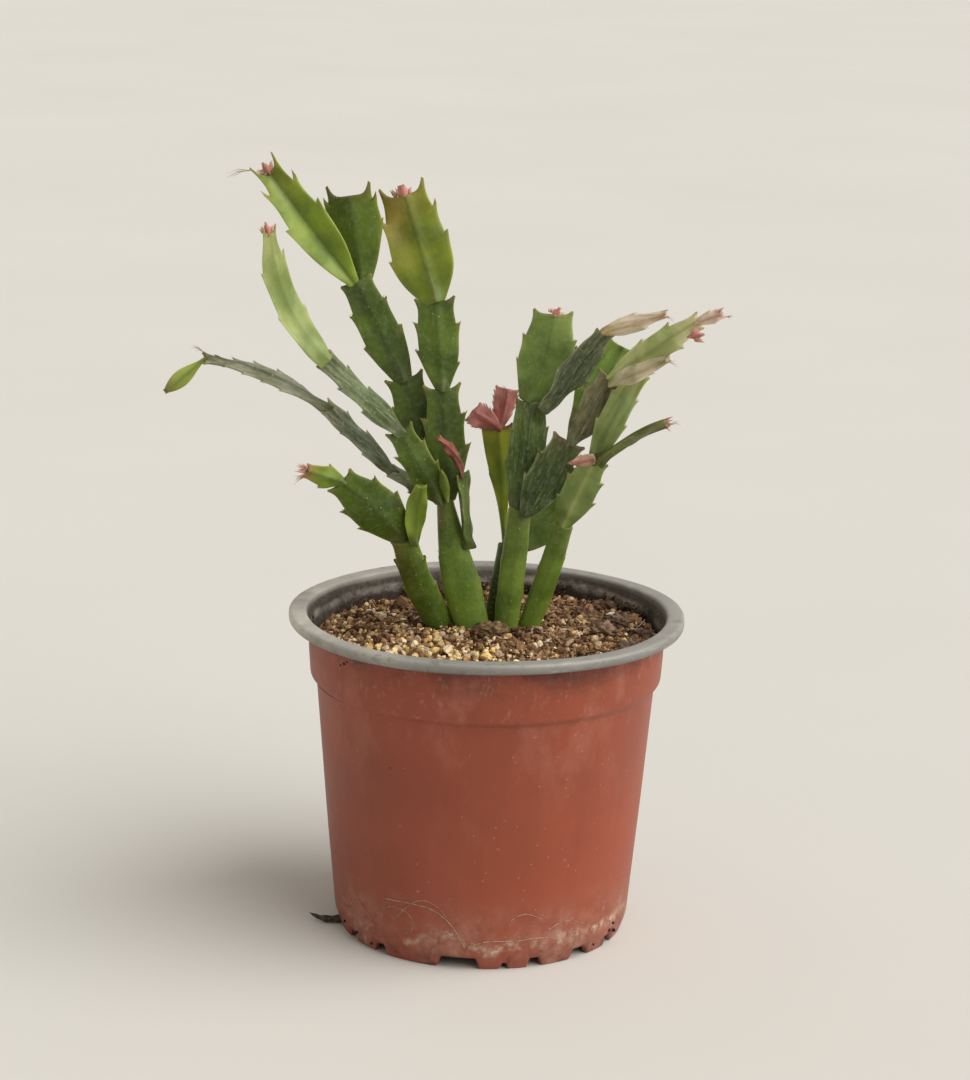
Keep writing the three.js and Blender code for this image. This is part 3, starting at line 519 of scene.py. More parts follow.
flatPad, stemPad, budPad = usual(padForm), usual(stemForm), usual(budForm)
pads = dict(
    stem_a=stemPad((-10.4, 5.4, 95), (-27, -8, 132), 9.8, bow=(-2, 0, -1), apex=0.8,
        left=(0.3, 0.6, 0.84, 1), right=(0.28, 0.55, 0.8, 1), tooth=0.8, hook=0.8, dots=(0.1,),
        blush=("66602a", -1, 0.25), body="566e1e", old="516419"),
    pad_a1=flatPad((-28, -8.6, 132.9), (-46.6, -22, 154), 15.5, bow=(0.8, 0, 0.6), apex=0.5,
        claw=1.4, fold=-0.1, rib=0.5, body="465b14", rim="8a9440", young="5e721c"),
    pad_a2=flatPad((-47.4, -22.4, 154.6), (-57.4, -27, 158.6), 7, apex=0.5, left=(0.5, 1),
        right=(0.4, 1), tooth=0.8, hook=1.2, claw=0.8, crown=16, thorn="c8707a",
        whisker=(-0.3, 9, 4), paint="leafGreen", body="74882a", young="a0764a", old="5c721e"),
    young_pad_a3=flatPad((-23.8, -11, 133), (-22, -13, 151), 7.4, bow=(-0.8, 0, 0), face=25,
        apex=0.6, left=(1,), right=(1,), tooth=0.2, hook=0.4, claw=0.4, fold=0.2,
        paint="youngGreen", body="76882a", young="8c9638", old="5a6e1a"),
    # Partly painted light: this stem's body colour is raised to make up for the shade of the pads above
    # it.
    stem_b=stemPad((-2.4, 0, 95), (-14.3, 0, 144), 12.4, bow=(-1.1, 0, 0), neck=0.74, belly=0.42,
        apex=0.4, fall=1.2, dots=(-0.65, 0.35), blush=("75603f", -1, 0.62), body="6b8534",
        young="5d6c30", old="607a28"),
    pad_b1a=flatPad((-17.4, 2.4, 143.8), (-31.4, 3, 152), 7, face=55, left=(0.5, 1),
        right=(0.45, 1), tooth=0.8, hook=1.4, claw=1, paint="greyGreen", body="5a6038"),
    pad_b1b=flatPad((-32, 3, 152.4), (-52.6, -4, 174), 8, face=55, tooth=1, claw=1.4, fold=0.3,
        pleat=0.22, paint="greyGreen", body="5e664c", rim="a9a486", vein="343c28"),
    pad_b1c=flatPad((-53.2, -4.4, 174.4), (-90, -18, 192), 6.4, bow=(0, 0, 2.7), face=62, apex=0.35,
        left=(0.2, 0.36, 0.52, 0.68, 0.84, 1), right=(0.2, 0.4, 0.58, 0.74, 0.88, 1), tooth=1.1,
        claw=1, fold=0.2, crown=14, pleat=0.12, whisker=(0.6, 6, 5), paint="greyGreen",
        body="989880", rim="bdb8a0", vein="4c5038"),
    bud_b1d=budPad((-90.9, -18.4, 192), (-102, -24, 183), 5.2, neck=0.2, rise=2, belly=0.62,
        rib=0.5, crown=8, paint="youngGreen", body="9aa654", rim="b8bf80", young="b09a6a",
        old="8f9a50"),
    pad_b2a=flatPad((-16.2, -3.4, 145), (-28.6, -12, 168.6), 10, tooth=1.4, body="566a2e",
        rim="a3ad72", vein="4a5c28"),
    pad_b2b=flatPad((-29.4, -12.4, 169.2), (-52.6, -20, 192.8), 8, face=42, neck=0.5, tooth=0.9,
        claw=0.8, wave=0.8, pleat=0.22, paint="greyGreen", body="727e56", rim="a8aa8c",
        vein="5c6844"),
    pad_b2c=flatPad((-53, -20.4, 193.6), (-70, -24, 233), 10, bow=(-3.7, 0, -1.6), face=40,
        neck=0.62, apex=0.42, left=(0.4, 0.7, 1), right=(0.35, 0.82, 1), tooth=0.8, claw=2.6,
        fold=0.3, paint="youngGreen", body="96a26c", rim="c4cca4", vein="7e8c50", young="a0a078",
        old="9caa7c"),
    pad_b3a=flatPad((-15.6, 5, 145.4), (-28, 8, 181.6), 14, left=(0.4, 0.78, 1), tooth=1.8,
        body="46580f", old="4a5a18"),
    pad_b3b=flatPad((-28.9, 8.2, 182.6), (-44, 7, 213.6), 12.6, neck=0.45, belly=0.4, tooth=1.2,
        hook=1.4, claw=0.4, body="4f6318"),
    pad_b3c=flatPad((-42.4, 9, 214.5), (-46.6, 9, 240.6), 18, face=-8, neck=0.34, belly=0.7,
        apex=0.74, left=(0.7, 0.9, 1), right=(0.66, 0.9, 1), tooth=0.8, hook=1.4, claw=4,
        fold=-0.08, apexBrown="6a6230", paint="leafGreen", body="50660c", rim="7c8a30",
        vein="41540e", young="5c6a14", old="586e14"),
    pad_b3d=flatPad((-45.6, 5, 214.7), (-71.4, 0, 249), 12.6, face=12, apex=0.5,
        left=(0.55, 0.84, 1), right=(0.6, 0.82, 1), tooth=1.3, hook=2.4, claw=5, fold=0.3,
        rib=-0.35, flank=("a3b46c", -1), whisker=(-1.6, 5, 9), paint="youngGreen", body="728618",
        rim="b9bf74", vein="44540e", young="86882a", old="80942a"),
    pad_b4a=flatPad((-12.8, 0.4, 145.4), (-15.8, 2, 179.6), 12.6, tooth=2, hook=2.4, claw=2,
        body="4c5e14"),
    pad_b4b=flatPad((-15.8, 2.2, 180.8), (-18.6, 6, 207.4), 13, belly=0.5, apex=0.8,
        left=(0.42, 0.74, 1), right=(0.24, 0.7, 1), body="50660e", vein="3f520e"),
    pad_b4c=flatPad((-19, 6.4, 208.9), (-29.2, 14, 240.6), 19.4, face=8, neck=0.34, belly=0.38,
        apex=0.66, left=(0.4, 0.74, 1), right=(0.55, 0.8, 1), tooth=1.2, claw=4, fold=0.1,
        blush=("857030", -1, 0.1), paint="youngGreen", body="727e18", rim="9ca244", vein="4c560e",
        young="857c2e", old="7a8a22"),
    pad_b5=flatPad((-6.4, -2.4, 130), (-8.8, -3.8, 153), 7.5, face=72, twist=-20, left=(0.5, 1),
        right=(0.6, 1), tooth=0.8, hook=1, claw=0.6, fold=0.2, body="5c6c3c", rim="7e8c62",
        vein="44521c"),
    bud_b6=budPad((-9, -4.6, 154), (-16.4, -6, 165.4), 3, bow=(1, 0, 0.9),
        left=(0.25, 0.5, 0.75, 1), right=(0.2, 0.45, 0.7, 1), tooth=0.7, hook=0.5, wave=0.9,
        rib=0.5, body="8a4634", rim="b0705a", young="b05648", old="6e4a30"),
    young_pad_b7=budPad((-13.6, -5, 146), (-15.3, -8.6, 155), 3, paint="youngGreen", body="6a7a28",
        young="7d8a38"),
    stem_c=stemPad((1.4, 11, 95), (6, 11, 126), 6, neck=0.75, dots=(-0.5, 0.3), paint="darkGreen"),
    # Partly painted light: pad_c1's body colour is raised to make up for the shade it gets.
    pad_c1=flatPad((5.8, 11.2, 126.6), (2.4, 16, 164.6), 10, neck=0.22, rise=3, belly=0.95,
        apex=0.95, left=(0.6, 1), right=(0.6, 1), tooth=0.5, hook=0.6, claw=1.2, apexBrown="6d4230",
        paint="youngGreen", body="98a420", rim="b2bc50", vein="6e7c1c", young="a09e30", old="687a24"),
    pink_leaf_c2=flatPad((1.6, 15.4, 165.6), (-5.4, 12, 170.6), 8, belly=0.85, apex=0.9,
        left=(0.42, 0.6, 0.76, 0.9, 1), right=(0.4, 0.58, 0.75, 0.9, 1), tooth=0.6, hook=0.5,
        claw=0.5, sharp=2.5, paint="pink", **pinkLeaf),
    pink_leaf_c3=flatPad((3.0, 16.4, 165.4), (5.2, 18, 177), 7.6, belly=0.85, apex=0.9,
        left=(0.42, 0.6, 0.76, 0.9, 1), right=(0.4, 0.58, 0.75, 0.9, 1), tooth=0.6, hook=0.5,
        claw=0.5, sharp=2.5, paint="pink", **pinkLeaf),
    pad_c4=flatPad((9.4, 13, 125.4), (23.6, 18, 139.5), 13, claw=2.4, paint="leafGreen"),
    # Partly painted light: this stem's body colour is raised to make up for the shade of the pads above
    # it.
    stem_d=stemPad((5.8, 1, 95), (10.2, 0, 141), 8.4, neck=0.84, dots=(0.1, 0.75), body="6c8434",
        old="5d7426"),
    pad_d1=flatPad((9.6, 0.8, 142), (13, -0.6, 176.6), 12.4, bow=(0.5, 0, 0), neck=0.42, tooth=0.7,
        claw=1.2, wave=0.7, rib=1.1, hairs=6, pleat=0.4, paint="roughGreen", body="546a2e"),
    pad_d2=flatPad((12.6, 0.6, 178.2), (19.4, 4, 204.4), 17, bow=(1.2, 0, -0.8), neck=0.38,
        belly=0.5, apex=0.66, tooth=1, hook=1.6, fold=0.05, paint="leafGreen", body="6c824c",
        rim="9caa74", vein="5c7238", young="7c8a56"),
    pad_d3=flatPad((18, -4.4, 176.4), (35.5, -10, 201.4), 10.4, face=28, neck=0.45, tooth=1,
        claw=0.8, wave=1.0, crown=10, pleat=0.4, paint="greyGreen", body="525c3c", rim="9a9c7c",
        vein="303e26", young="767858"),
    dry_tip_d4=flatPad((36.4, -10.4, 202.4), (54, -16, 209), 5.6, neck=0.45, belly=0.36, apex=0.22,
        left=(0.5, 1), right=(0.6, 1), tooth=0.4, hook=0.8, claw=1.2, sharp=3, wave=0.7, crown=12,
        pleat=0.22, whisker=(1, 4, 3), paint="dryBeige", body="f4e0c8", rim="f8ecdc", vein="d2ae8c",
        young="f2c6bc", old="ceaa6a"),
    pad_d5=flatPad((12.4, -3.8, 141.6), (25, -4.4, 164.6), 12.5, claw=1, wave=0.6, pleat=0.35,
        apexBrown="6c5a40", paint="roughGreen", body="46582a", rim="a9ac88", young="5c5a3a"),
    pad_d6=flatPad((26.6, -4, 165.4), (38.2, -4, 186), 10, face=10, claw=0.8, wave=0.9, pleat=0.4,
        paint="greyGreen", body="73704c", rim="a39a78", vein="5a5a3a", young="847a58"),
    pad_d7=flatPad((28.6, -0.4, 166.8), (42, 6, 194), 13.5, claw=2.4, pleat=0.2, paint="leafGreen",
        body="90b066", rim="b6c488", old="b6b650"),
    # Partly painted light: pad_d8's pale colours are raised past its own tone because it faces away
    # from the lamps.
    pad_d8=flatPad((39.4, -6, 187.2), (64, -24, 208), 9, face=-28, apex=0.42, tooth=1.2, claw=1.4,
        fold=0.25, pleat=0.25, paint="youngGreen", body="dadeb8", rim="eef0dc", vein="b2b888",
        young="eaddc8", old="bac48e"),
    young_pad_d9=flatPad((64.8, -24.6, 208.6), (71, -27, 211.4), 4, left=(0.5, 1), right=(0.5, 1),
        tooth=0.3, hook=0.6, crown=14, thorn="d88c90", whisker=(0.3, 10, 2), paint="dryBeige",
        body="ecd0ba", rim="f4e0d0", young="f0b4b0"),
    dry_pad_d10=flatPad((39.6, -8, 185.6), (55, -23, 196), 5.6, neck=0.45, belly=0.36, apex=0.22,
        left=(0.5, 1), right=(0.6, 1), tooth=0.3, hook=0.6, claw=1.2, sharp=3, wave=0.6, crown=12,
        pleat=0.22, whisker=(1, 4, 4), paint="dryBeige", body="f0e2c2", rim="f8eed8", vein="c8b688",
        young="f0cebc", old="a8aa6c"),
    # Partly painted light: this stem's body colour is raised to make up for the shade of the pads above
    # it.
    stem_e=stemPad((11.8, 5, 95), (24.2, 0, 136), 7.6, bow=(0.7, 0, -0.4), neck=0.78, dots=(-0.2,),
        body="6c8534", old="5d7626"),
    pad_e1=flatPad((24.4, -0.6, 137), (33, -12, 159.6), 11, bow=(0, -1, 0), neck=0.42, tooth=1.2,
        hook=1.6, claw=1.2, paint="leafGreen", body="849870", rim="b2b88c", vein="b6bc98",
        young="8c9a70", old="7c8e60"),
    pad_e2=flatPad((33.6, -11.8, 160.8), (46.8, -3.4, 187), 8.6, bow=(-0.8, -1, 0.4), neck=0.42,
        tooth=0.9, hook=1.4, claw=1, fold=0.25, pleat=0.15, paint="youngGreen", body="727e4c",
        rim="aeb48a", vein="566238", young="888a5c", old="647040"),
    pad_e3=flatPad((35.6, -14.6, 161.6), (55.4, -21, 175), 6, bow=(0, 0, 1), face=66, left=(0.5, 1),
        right=(0.6, 1), tooth=0.6, hook=1, claw=0.6, crown=16, thorn="c48a84", whisker=(1, 8, 4.5),
        body="6c7452", rim="7c8060", young="8a7c66"),
    pink_leaf_e4=budPad((32, -14.6, 161.4), (25.6, -16, 160.4), 4, neck=0.9, belly=0.2, apex=0.15,
        wave=0.3, body="b58a72", rim="d8b8a0", young="cc8c80", old="b09a80"),
    bud_b2=budPad((-70.2, -24.2, 234), (-70.8, -24.4, 236), 2, **palePink),
    bud_b3=budPad((-72.2, 0, 249.9), (-73.4, -0.3, 251.6), 2.4, **palePink),
    bud_b4=budPad((-29.6, 14.3, 241.6), (-30.2, 14.5, 243.4), 3.6, neck=0.8, apex=0.7, **palePink),
    bud_d2=budPad((20.4, 4.2, 205.2), (21.2, 4.3, 206.4), 2.6, **palePink),
    bud_d8=budPad((62.6, -25.6, 204), (65.4, -26.6, 204.6), 2.2, **palePink),
)

# Skin colours: the pad's body, its margins, the line of its midrib, its tip and its base.
skins = dict(
    darkGreen=dict(body="4a5e22", rim="76803c", vein="3a4a1c", young="55662a", old="56602c"),
    leafGreen=dict(body="5d7030", rim="8d9550", vein="4b5c28", young="6c7a38", old="5c6a30"),
    youngGreen=dict(body="889838", rim="b0b468", vein="5f7024", young="98943f", old="8b9a42"),
    greyGreen=dict(body="6b7450", rim="9a9a74", vein="525c38", young="7b7a58", old="656e44"),
    roughGreen=dict(body="4c5e26", rim="8c9468", vein="36461c", young="5e6a3a", old="56602c"),
    dryBeige=dict(body="c3a98c", rim="dcc8ae", vein="a98a6c", young="d2aa9c", old="b0a074"),
    pink=dict(body="b0585a", rim="c98a80", vein="8f4444", young="c46a6c", old="9a6a50"),
)


def outlineShare(pad, along):
    # The half width's share: a sine from the neck to the belly, then a power curve to the apex.
    rise = np.sin(np.clip(along / pad["belly"], 0, 1) * np.pi / 2) ** pad["rise"]
    past = np.clip((along - pad["belly"]) / (1 - pad["belly"]), 0, 1)
    return np.where(along < pad["belly"], pad["neck"] + (1 - pad["neck"]) * rise,
                    1 - (1 - pad["apex"]) * past ** pad["fall"])


def padRows(pad, steps=20, fallBack=0.15):
    # For each row: the place along each margin, the tooth's flare there, and its distance
    # past the end, thickness and width where the ends are rounded off.
    t = np.linspace(0, 1, steps)
    q = (1 - np.cos(np.pi * t)) / 2
    count = len(pad["left"])
    margins = []
    for teeth in (pad["left"], pad["right"]):
        ends = np.array(teeth, float)
        starts = np.concatenate([[0], ends[:-1]])
        margins.append(starts[:, None] + (ends - starts)[:, None] * q)
    rising = np.broadcast_to(q ** pad["sharp"], (count, steps))
    falling = np.clip(1 - q / fallBack, 0, 1) ** 1.3 * (np.arange(count) > 0)[:, None]
    flare = np.maximum(rising, falling)
    atTip = np.zeros((count, steps))
    atTip[-1] = rising[-1]
    keep = np.ones((count, steps), bool)
    keep[1:, 0] = False
    left, right, flare, atTip = (a[keep] for a in (*margins, flare, atTip))
    closing = np.array([0.35, 0.65, 0.87, 0.98])  # quarter circle that rounds an end
    shrink = np.sqrt(1 - closing ** 2)
    still = 0 * closing
    before = np.stack([still, still, still, still, -closing, shrink, shrink])[:, ::-1]
    inside = np.stack([left, right, flare, atTip, 0 * left, 1 + 0 * left, 1 + 0 * left])
    after = np.stack([1 + 0 * closing, 1 + 0 * closing, 1 + 0 * closing, 1 + 0 * closing,
                      closing, shrink, 1 - 0.1 * closing])
    return np.concatenate([before, inside, after], 1)


def padFrame(pad, t):
    # A quadratic curve from base to tip, its direction, and the directions across and out.
    base, tip = np.array(pad["base"], float), np.array(pad["tip"], float)
    middle = (base + tip) / 2 + 2 * np.array(pad["bow"], float)
    base = base - (middle - base) / np.linalg.norm(middle - base) * pad["joint"]
    t = np.asarray(t, float)[..., None]
    point = (1 - t) ** 2 * base + 2 * t * (1 - t) * middle + t * t * tip
    forward = 2 * (1 - t) * (middle - base) + 2 * t * (tip - middle)
    forward /= np.linalg.norm(forward, axis=-1, keepdims=True)
    out = np.array([0, -1, 0]) + forward * forward[..., 1:2]
    out /= np.linalg.norm(out, axis=-1, keepdims=True)
    turn = np.radians(pad["face"] + pad["twist"] * (t - 0.5))
    out = out * np.cos(turn) + np.cross(forward, out) * np.sin(turn)
    return point, forward, np.cross(forward, out), out


def padSurface(pad, seed, columns=25):
    # Points of a pad: the centre line, moved across by the outline and the teeth, and out by
    # a section of three parts: a thin rounded sheet, a lens and a raised middle.
    left, right, flare, atTip, past, thin, narrow = padRows(pad)
    random = np.random.default_rng(seed)
    side = np.sin(np.linspace(-1, 1, columns) * np.pi / 2)
    side = np.concatenate([side, side[-2:0:-1]])
    layer = np.concatenate([np.ones(columns), -np.ones(columns - 2)])
    middle = (left + right) / 2
    margin = np.where(side < 0, left[:, None], right[:, None])
    along = middle[:, None] + (margin - middle[:, None]) * side ** 2
    point = padFrame(pad, along)[0]
    forward, across, out = (a[:, None, :] for a in padFrame(pad, middle)[1:])
    half = outlineShare(pad, margin) * pad["width"] / 2 * narrow[:, None]
    size = np.abs(side)
    reach = side * half + np.sign(side) * size ** 5 * pad["tooth"] * flare[:, None] * narrow[:, None]
    lean = pad["hook"] + (pad["claw"] - pad["hook"]) * (atTip > 0)
    lead = size ** 7 * flare[:, None] * lean[:, None]
    sheet = (pad["edge"] * np.sqrt(np.clip(1 - size ** 16, 0, 1))
             * (1 - 0.55 * flare[:, None] * size ** 6))
    lens = pad["lens"] * (1 - side ** 2) ** pad["round"]
    ribWidth = 0.9 + 0.05 * pad["width"]
    ridge = pad["rib"] * np.exp(-(side * half / ribWidth) ** 2)
    neckRound = 1 + 0.9 * (1 - smooth(middle, 0, 0.16))[:, None] * (1 - size ** 2)
    height = (sheet + (lens + ridge) * neckRound) * layer * thin[:, None]
    lift = pad["fold"] * (size ** 1.6 * half - half * 0.35)
    phase = random.uniform(0, 6.28, 4)
    waves = np.sin(along * 9 + phase[0]) + 0.5 * np.sin(along * 17 + phase[1])
    ripple = pad["wave"] * side * size * waves
    ripple = ripple + 0.3 * pad["wave"] * np.sin(along * 7 + 3 * side + phase[2])
    folds = pad["pleat"] * np.sin(side * 11 + 2.4 * np.sin(along * 4 + phase[3])) * (1 - size ** 3)
    ripple = ripple + folds * layer + 0.6 * pad["pleat"] * np.sin(along * 13 + side * 4 + phase[0])
    settle = smooth(middle, 0, 0.2)[:, None]
    points = (point + across * reach[..., None] + out * (height + (lift + ripple) * settle)[..., None]
              + forward * (lead + (past * pad["edge"] * 1.6)[:, None])[..., None])
    return dict(points=points, side=side, along=along, reach=reach, flare=flare, middle=middle,
                forward=forward[:, 0], across=across[:, 0], out=out[:, 0], random=random,
                half=half, layer=layer)


def capFaces(columns, first, mirror):
    # A lens-shaped end is closed by strips between each point and the one behind it.
    loop = 2 * columns - 2
    j = np.arange(1, columns - 2)
    quads = np.stack([j, j + 1, (loop - j - 1) % loop, (loop - j) % loop], -1)
    triangles = np.array([[0, 1, loop - 1], [columns - 2, columns - 1, columns]])
    if mirror:
        quads, triangles = quads[:, ::-1], triangles[:, ::-1]
    return quads + first, triangles + first


# The greens keep only this share of blue in their layer of colour.
blueShares = dict(darkGreen=0.5, leafGreen=0.58, youngGreen=0.72, roughGreen=0.8)


def padTints(pad, shape):
    # The skin's colour at each point, from the place along and across the pad.
    tones = skins[pad["paint"]]
    skin = {part: linear({**tones, **pad}[part]) for part in tones}
    side, along, half = shape["side"], shape["along"], shape["half"]
    size = np.abs(side)[None, :] + 0 * along
    colour = np.broadcast_to(skin["body"], (*along.shape, 3)).copy()

    def blend(share, target):
        colour[:] = colour + (target - colour) * np.clip(share, 0, 1)[..., None]
    blend(1 - smooth(along, 0.0, 0.28), skin["old"])
    blend(smooth(along, 0.6, 1.05) * 0.8, skin["young"])
    if "blush" in pad:  # a flush of another colour on one side, towards the tip
        hue, where, reachDown = pad["blush"]
        aside = smooth(side * where, -0.3, 0.7)[None, :]
        blend(aside * smooth(along, reachDown, 1.0) * 0.85, linear(hue))
    # Painted light: one flank of a folded pad is tinted paler, as if lit from that side.
    if "flank" in pad:
        hue, where = pad["flank"]
        blend(smooth(side * where, 0.1, 0.45)[None, :] * 0.75 + 0 * along, linear(hue))
    blend(0.75 * pad["groove"] * np.exp(-(side * half / 0.55) ** 2), skin["vein"])
    blend(0.25 * np.exp(-(side * half / 1.6) ** 2), skin["vein"])
    blend(0.85 * size ** 18, skin["rim"])
    thorny = smooth(shape["flare"], 0.5, 1)[:, None] * size ** 10
    blend(0.8 * thorny, linear(pad.get("thorn", "928048")))
    if "apexBrown" in pad:
        blend(smooth(along, 0.965, 1.0) * 0.8, linear(pad["apexBrown"]))
    colour[..., 2] *= blueShares.get(pad["paint"], 1)
    return colour


hairBases, hairDirections, hairLengths, dotPlaces = [], [], [], []


def gatherHairs(pad, shape):
    # Fine bristles stand in the notch above every tooth and, longer, along the apex.
    points, random = shape["points"], shape["random"]
    columns = (len(shape["side"]) + 2) // 2
    tips = np.flatnonzero((shape["flare"] > 0.99) & (shape["middle"] < 0.97))
    for column, sign in ((0, -1), (columns - 1, 1)):
        for row in tips:
            count = pad["hairs"]
            root = points[min(row + 4, len(points) - 1), column]
            direction = shape["forward"][row] + sign * shape["across"][row] * 0.8
            hairBases.append(np.repeat(root[None], count, 0))
            hairDirections.append(direction + random.normal(0, 0.35, (count, 3)))
            hairLengths.append(random.uniform(0.5, 1.1, count))
    for side in pad.get("dots", ()):  # areoles: a pale dot with two bristles, in rows along a stem
        column = int(np.abs(shape["side"][:columns] - side).argmin())
        for row in range(8, len(points) - 8, 5):
            root = points[row, column]
            dotPlaces.append(root)
            hairBases.append(np.repeat(root[None], 2, 0))
            hairDirections.append(shape["out"][row] + random.normal(0, 0.6, (2, 3)))
            hairLengths.append(random.uniform(0.5, 1.2, 2))
    # Long fine hairs that trail from the tip: their lean to one side, number and length.
    if "whisker" in pad:
        lean, count, length = pad["whisker"]
        root = points[-6, columns - 2 if lean > 0 else 1]
        hairBases.append(np.repeat(root[None], count, 0))
        hairDirections.append(shape["forward"][-1] * 0.8 + shape["across"][-1] * lean
                              + random.normal(0, 0.22, (count, 3)))
        hairLengths.append(random.uniform(0.5, 1, count) * length)
    if pad["crown"]:
        count = pad["crown"]
        picks = random.integers(4, columns - 4, count)
        hairBases.append(points[-6, picks])
        hairDirections.append(shape["forward"][-1] + random.normal(0, 0.4, (count, 3)))
        hairLengths.append(random.uniform(0.6, 1.8, count))


def skinMaterial(name, roughness, speck, wrinkle, streak=0.06):
    # The tint attribute with soft blotches, pale corky specks, and fine lengthwise wrinkles.
    material = newMaterial(name, roughness, 0.3)
    place = objectPlace()
    tint = attribute("tint")
    run = attribute("run", "Vector")
    blotch = noise(place, 85, 3, 0.5)
    darker = mixed(1.0, tint, "c8d0b4", "MULTIPLY")
    tone = mixed(between(blotch, 0.38, 0.58), darker, tint)
    # Lengthwise streaks, pale and dark, stronger on old and dry skin.
    lines = noise(stretched(run, (1.5, 0.24, 1)), 1.0, 5, 0.7)
    tone = mixed(between(lines, 0.5, 0.34, 0, streak), tone, mixed(1.0, tone, "6a6450", "MULTIPLY"))
    tone = mixed(between(lines, 0.52, 0.7, 0, streak), tone, "bdbc9a")
    mottle = noise(place, 700, 3, 0.6)
    lighter = mixed(1.0, tone, "fffff0", "SCREEN")
    tone = mixed(between(mottle, 0.45, 0.8, 0, 0.02 + 0.04 * speck), tone, lighter)
    spots = cells(place, 480)
    spotShare = times(between(spots, 0.12, 0.07),
                      between(noise(place, 190, 2), 0.56 - 0.1 * speck, 0.6))
    # Short pale scratches: thin stretched cells, kept in a few places.
    nicks = cells(stretched(run, (2.4, 0.5, 1)), 0.6)
    nickShare = times(between(nicks, 0.1, 0.06),
                      between(noise(place, 95, 2), 0.54, 0.58))
    spotShare = maths("MAXIMUM", spotShare, nickShare)
    tone = mixed(times(spotShare, speck), tone, "bab993")
    feed("Base Color", tone)
    feed("Roughness", between(blotch, 0.3, 0.7, roughness - 0.06, roughness + 0.1))
    shader.inputs["Coat Weight"].default_value = 0.05
    shader.inputs["Coat Roughness"].default_value = 0.3
    under = bumped(noise(stretched(run, (9, 1.6, 1)), 1.0, 3), 0.16, wrinkle)
    under = bumped(mottle, 0.05, 0.5, under)
    under = bumped(lines, 0.5, streak, under)
    bumped(spotShare, 0.12, 0.7 * speck, under)
    return material


def buildPads():
    # Every stem section: its surface, closed ends, colours and hairs.
    materials = dict(
        darkGreen=skinMaterial("darkSkin", 0.4, 0.85, 0.6),
        leafGreen=skinMaterial("leafSkin", 0.42, 0.65, 0.5),
        youngGreen=skinMaterial("youngSkin", 0.38, 0.03, 0.35),
        greyGreen=skinMaterial("oldSkin", 0.52, 0.7, 1.0, 0.42),
        roughGreen=skinMaterial("roughSkin", 0.48, 0.9, 1.0, 0.32),
        dryBeige=skinMaterial("drySkin", 0.62, 0.2, 1.3, 0.24),
        pink=skinMaterial("pinkSkin", 0.5, 0.1, 0.7, 0.35),
    )
    for number, (name, pad) in enumerate(pads.items()):
        shape = padSurface(pad, 100 + number)
        rows, loop = shape["points"].shape[:2]
        columns = loop // 2 + 1
        quads = gridQuads(rows, loop, wrap=True)
        endQuads, endTriangles = capFaces(columns, (rows - 1) * loop, False)
        startQuads, startTriangles = capFaces(columns, 0, True)
        gatherHairs(pad, shape)
        length = np.linalg.norm(np.subtract(pad["tip"], pad["base"]))
        along = shape["along"]
        run = np.stack([shape["reach"], along * length, shape["layer"] * 7 + 0 * along], -1)
        makePiece(name + "_shape", shape["points"].reshape(-1, 3),
                  np.concatenate([quads, endQuads, startQuads]),
                  np.concatenate([endTriangles, startTriangles]), [materials[pad["paint"]]],
                  [name],
                  {"tint": padTints(pad, shape).reshape(-1, 3), "run": run.reshape(-1, 3)})


buildPads()
print("pads made:", len(pads))


def cones(bases, directions, lengths, width):
    # Three-sided spikes: a small triangle at each base and one point at each tip.
    directions = unit(directions)
    helper = np.where(np.abs(directions[:, 2:]) < 0.9, [[0, 0, 1.0]], [[1.0, 0, 0]])
    u = unit(np.cross(directions, helper))
    v = np.cross(directions, u)
    ring = circle(u[:, None], v[:, None], 3)[:, 0] * width[:, None, None] / 2
    bend = np.stack([0 * lengths, 0 * lengths, lengths * 0.12], -1)
    rings = [bases[:, None] + ring,
             (bases + directions * lengths[:, None] * 0.5 + bend)[:, None] + ring * 0.6,
             (bases + directions * lengths[:, None])[:, None] + ring * 0.1]
    points = np.concatenate(rings, 1)
    sides = ((0, 1), (1, 2), (2, 0), (3, 4), (4, 5), (5, 3))
    cell = np.array([[a, b, b + 3, a + 3] for a, b in sides])
    ends = np.array([[0, 2, 1], [6, 7, 8]])
    return points.reshape(-1, 3), copies(cell, len(bases), 9), copies(ends, len(bases), 9)


def buildHairs():
    # The bristles as one piece and the small areoles as eight-sided dots.
    bases, directions, lengths = (np.concatenate(a) for a in (hairBases, hairDirections, hairLengths))
    points, quads, triangles = cones(bases, directions, lengths, 0.13 + 0.02 * lengths)
    material = newMaterial("paleBristle", 0.6)
    feed("Base Color", mixed(between(noise(objectPlace(), 300), 0.4, 0.6), "b9a27c", "8b6a48"))
    makePiece("bristles", points, quads, triangles, material)
    ball = np.array([(1, 0, 0), (-1, 0, 0), (0, 1, 0), (0, -1, 0), (0, 0, 1), (0, 0, -1)]) * 0.22
    faces = np.array([(0, 2, 4), (2, 1, 4), (1, 3, 4), (3, 0, 4),
                      (2, 0, 5), (1, 2, 5), (3, 1, 5), (0, 3, 5)])
    dots = np.array(dotPlaces)
    points = (dots[:, None] + ball).reshape(-1, 3)
    makePiece("areoles", points, [], copies(faces, len(dots), 6), material)


buildHairs()
print("bristles made")


soil = dict(edge=96.5, mound=4, spread=22, moundY=2, radius=56.3, depth=12, rings=150, segments=420,
            dark="745439", pale="c29c74")
grit = dict(
    count=6400, inner=15, outer=55.4, size=(2.1, 4.0), elsewhere=0.02, smallest=0.95, brightness=1.25,
    hues={"ead6a2": 6, "e0c486": 5, "f4e6c4": 4, "d2b074": 3, "b89668": 1.4, "dcc6b0": 2,
          "96795c": 0.7},
)


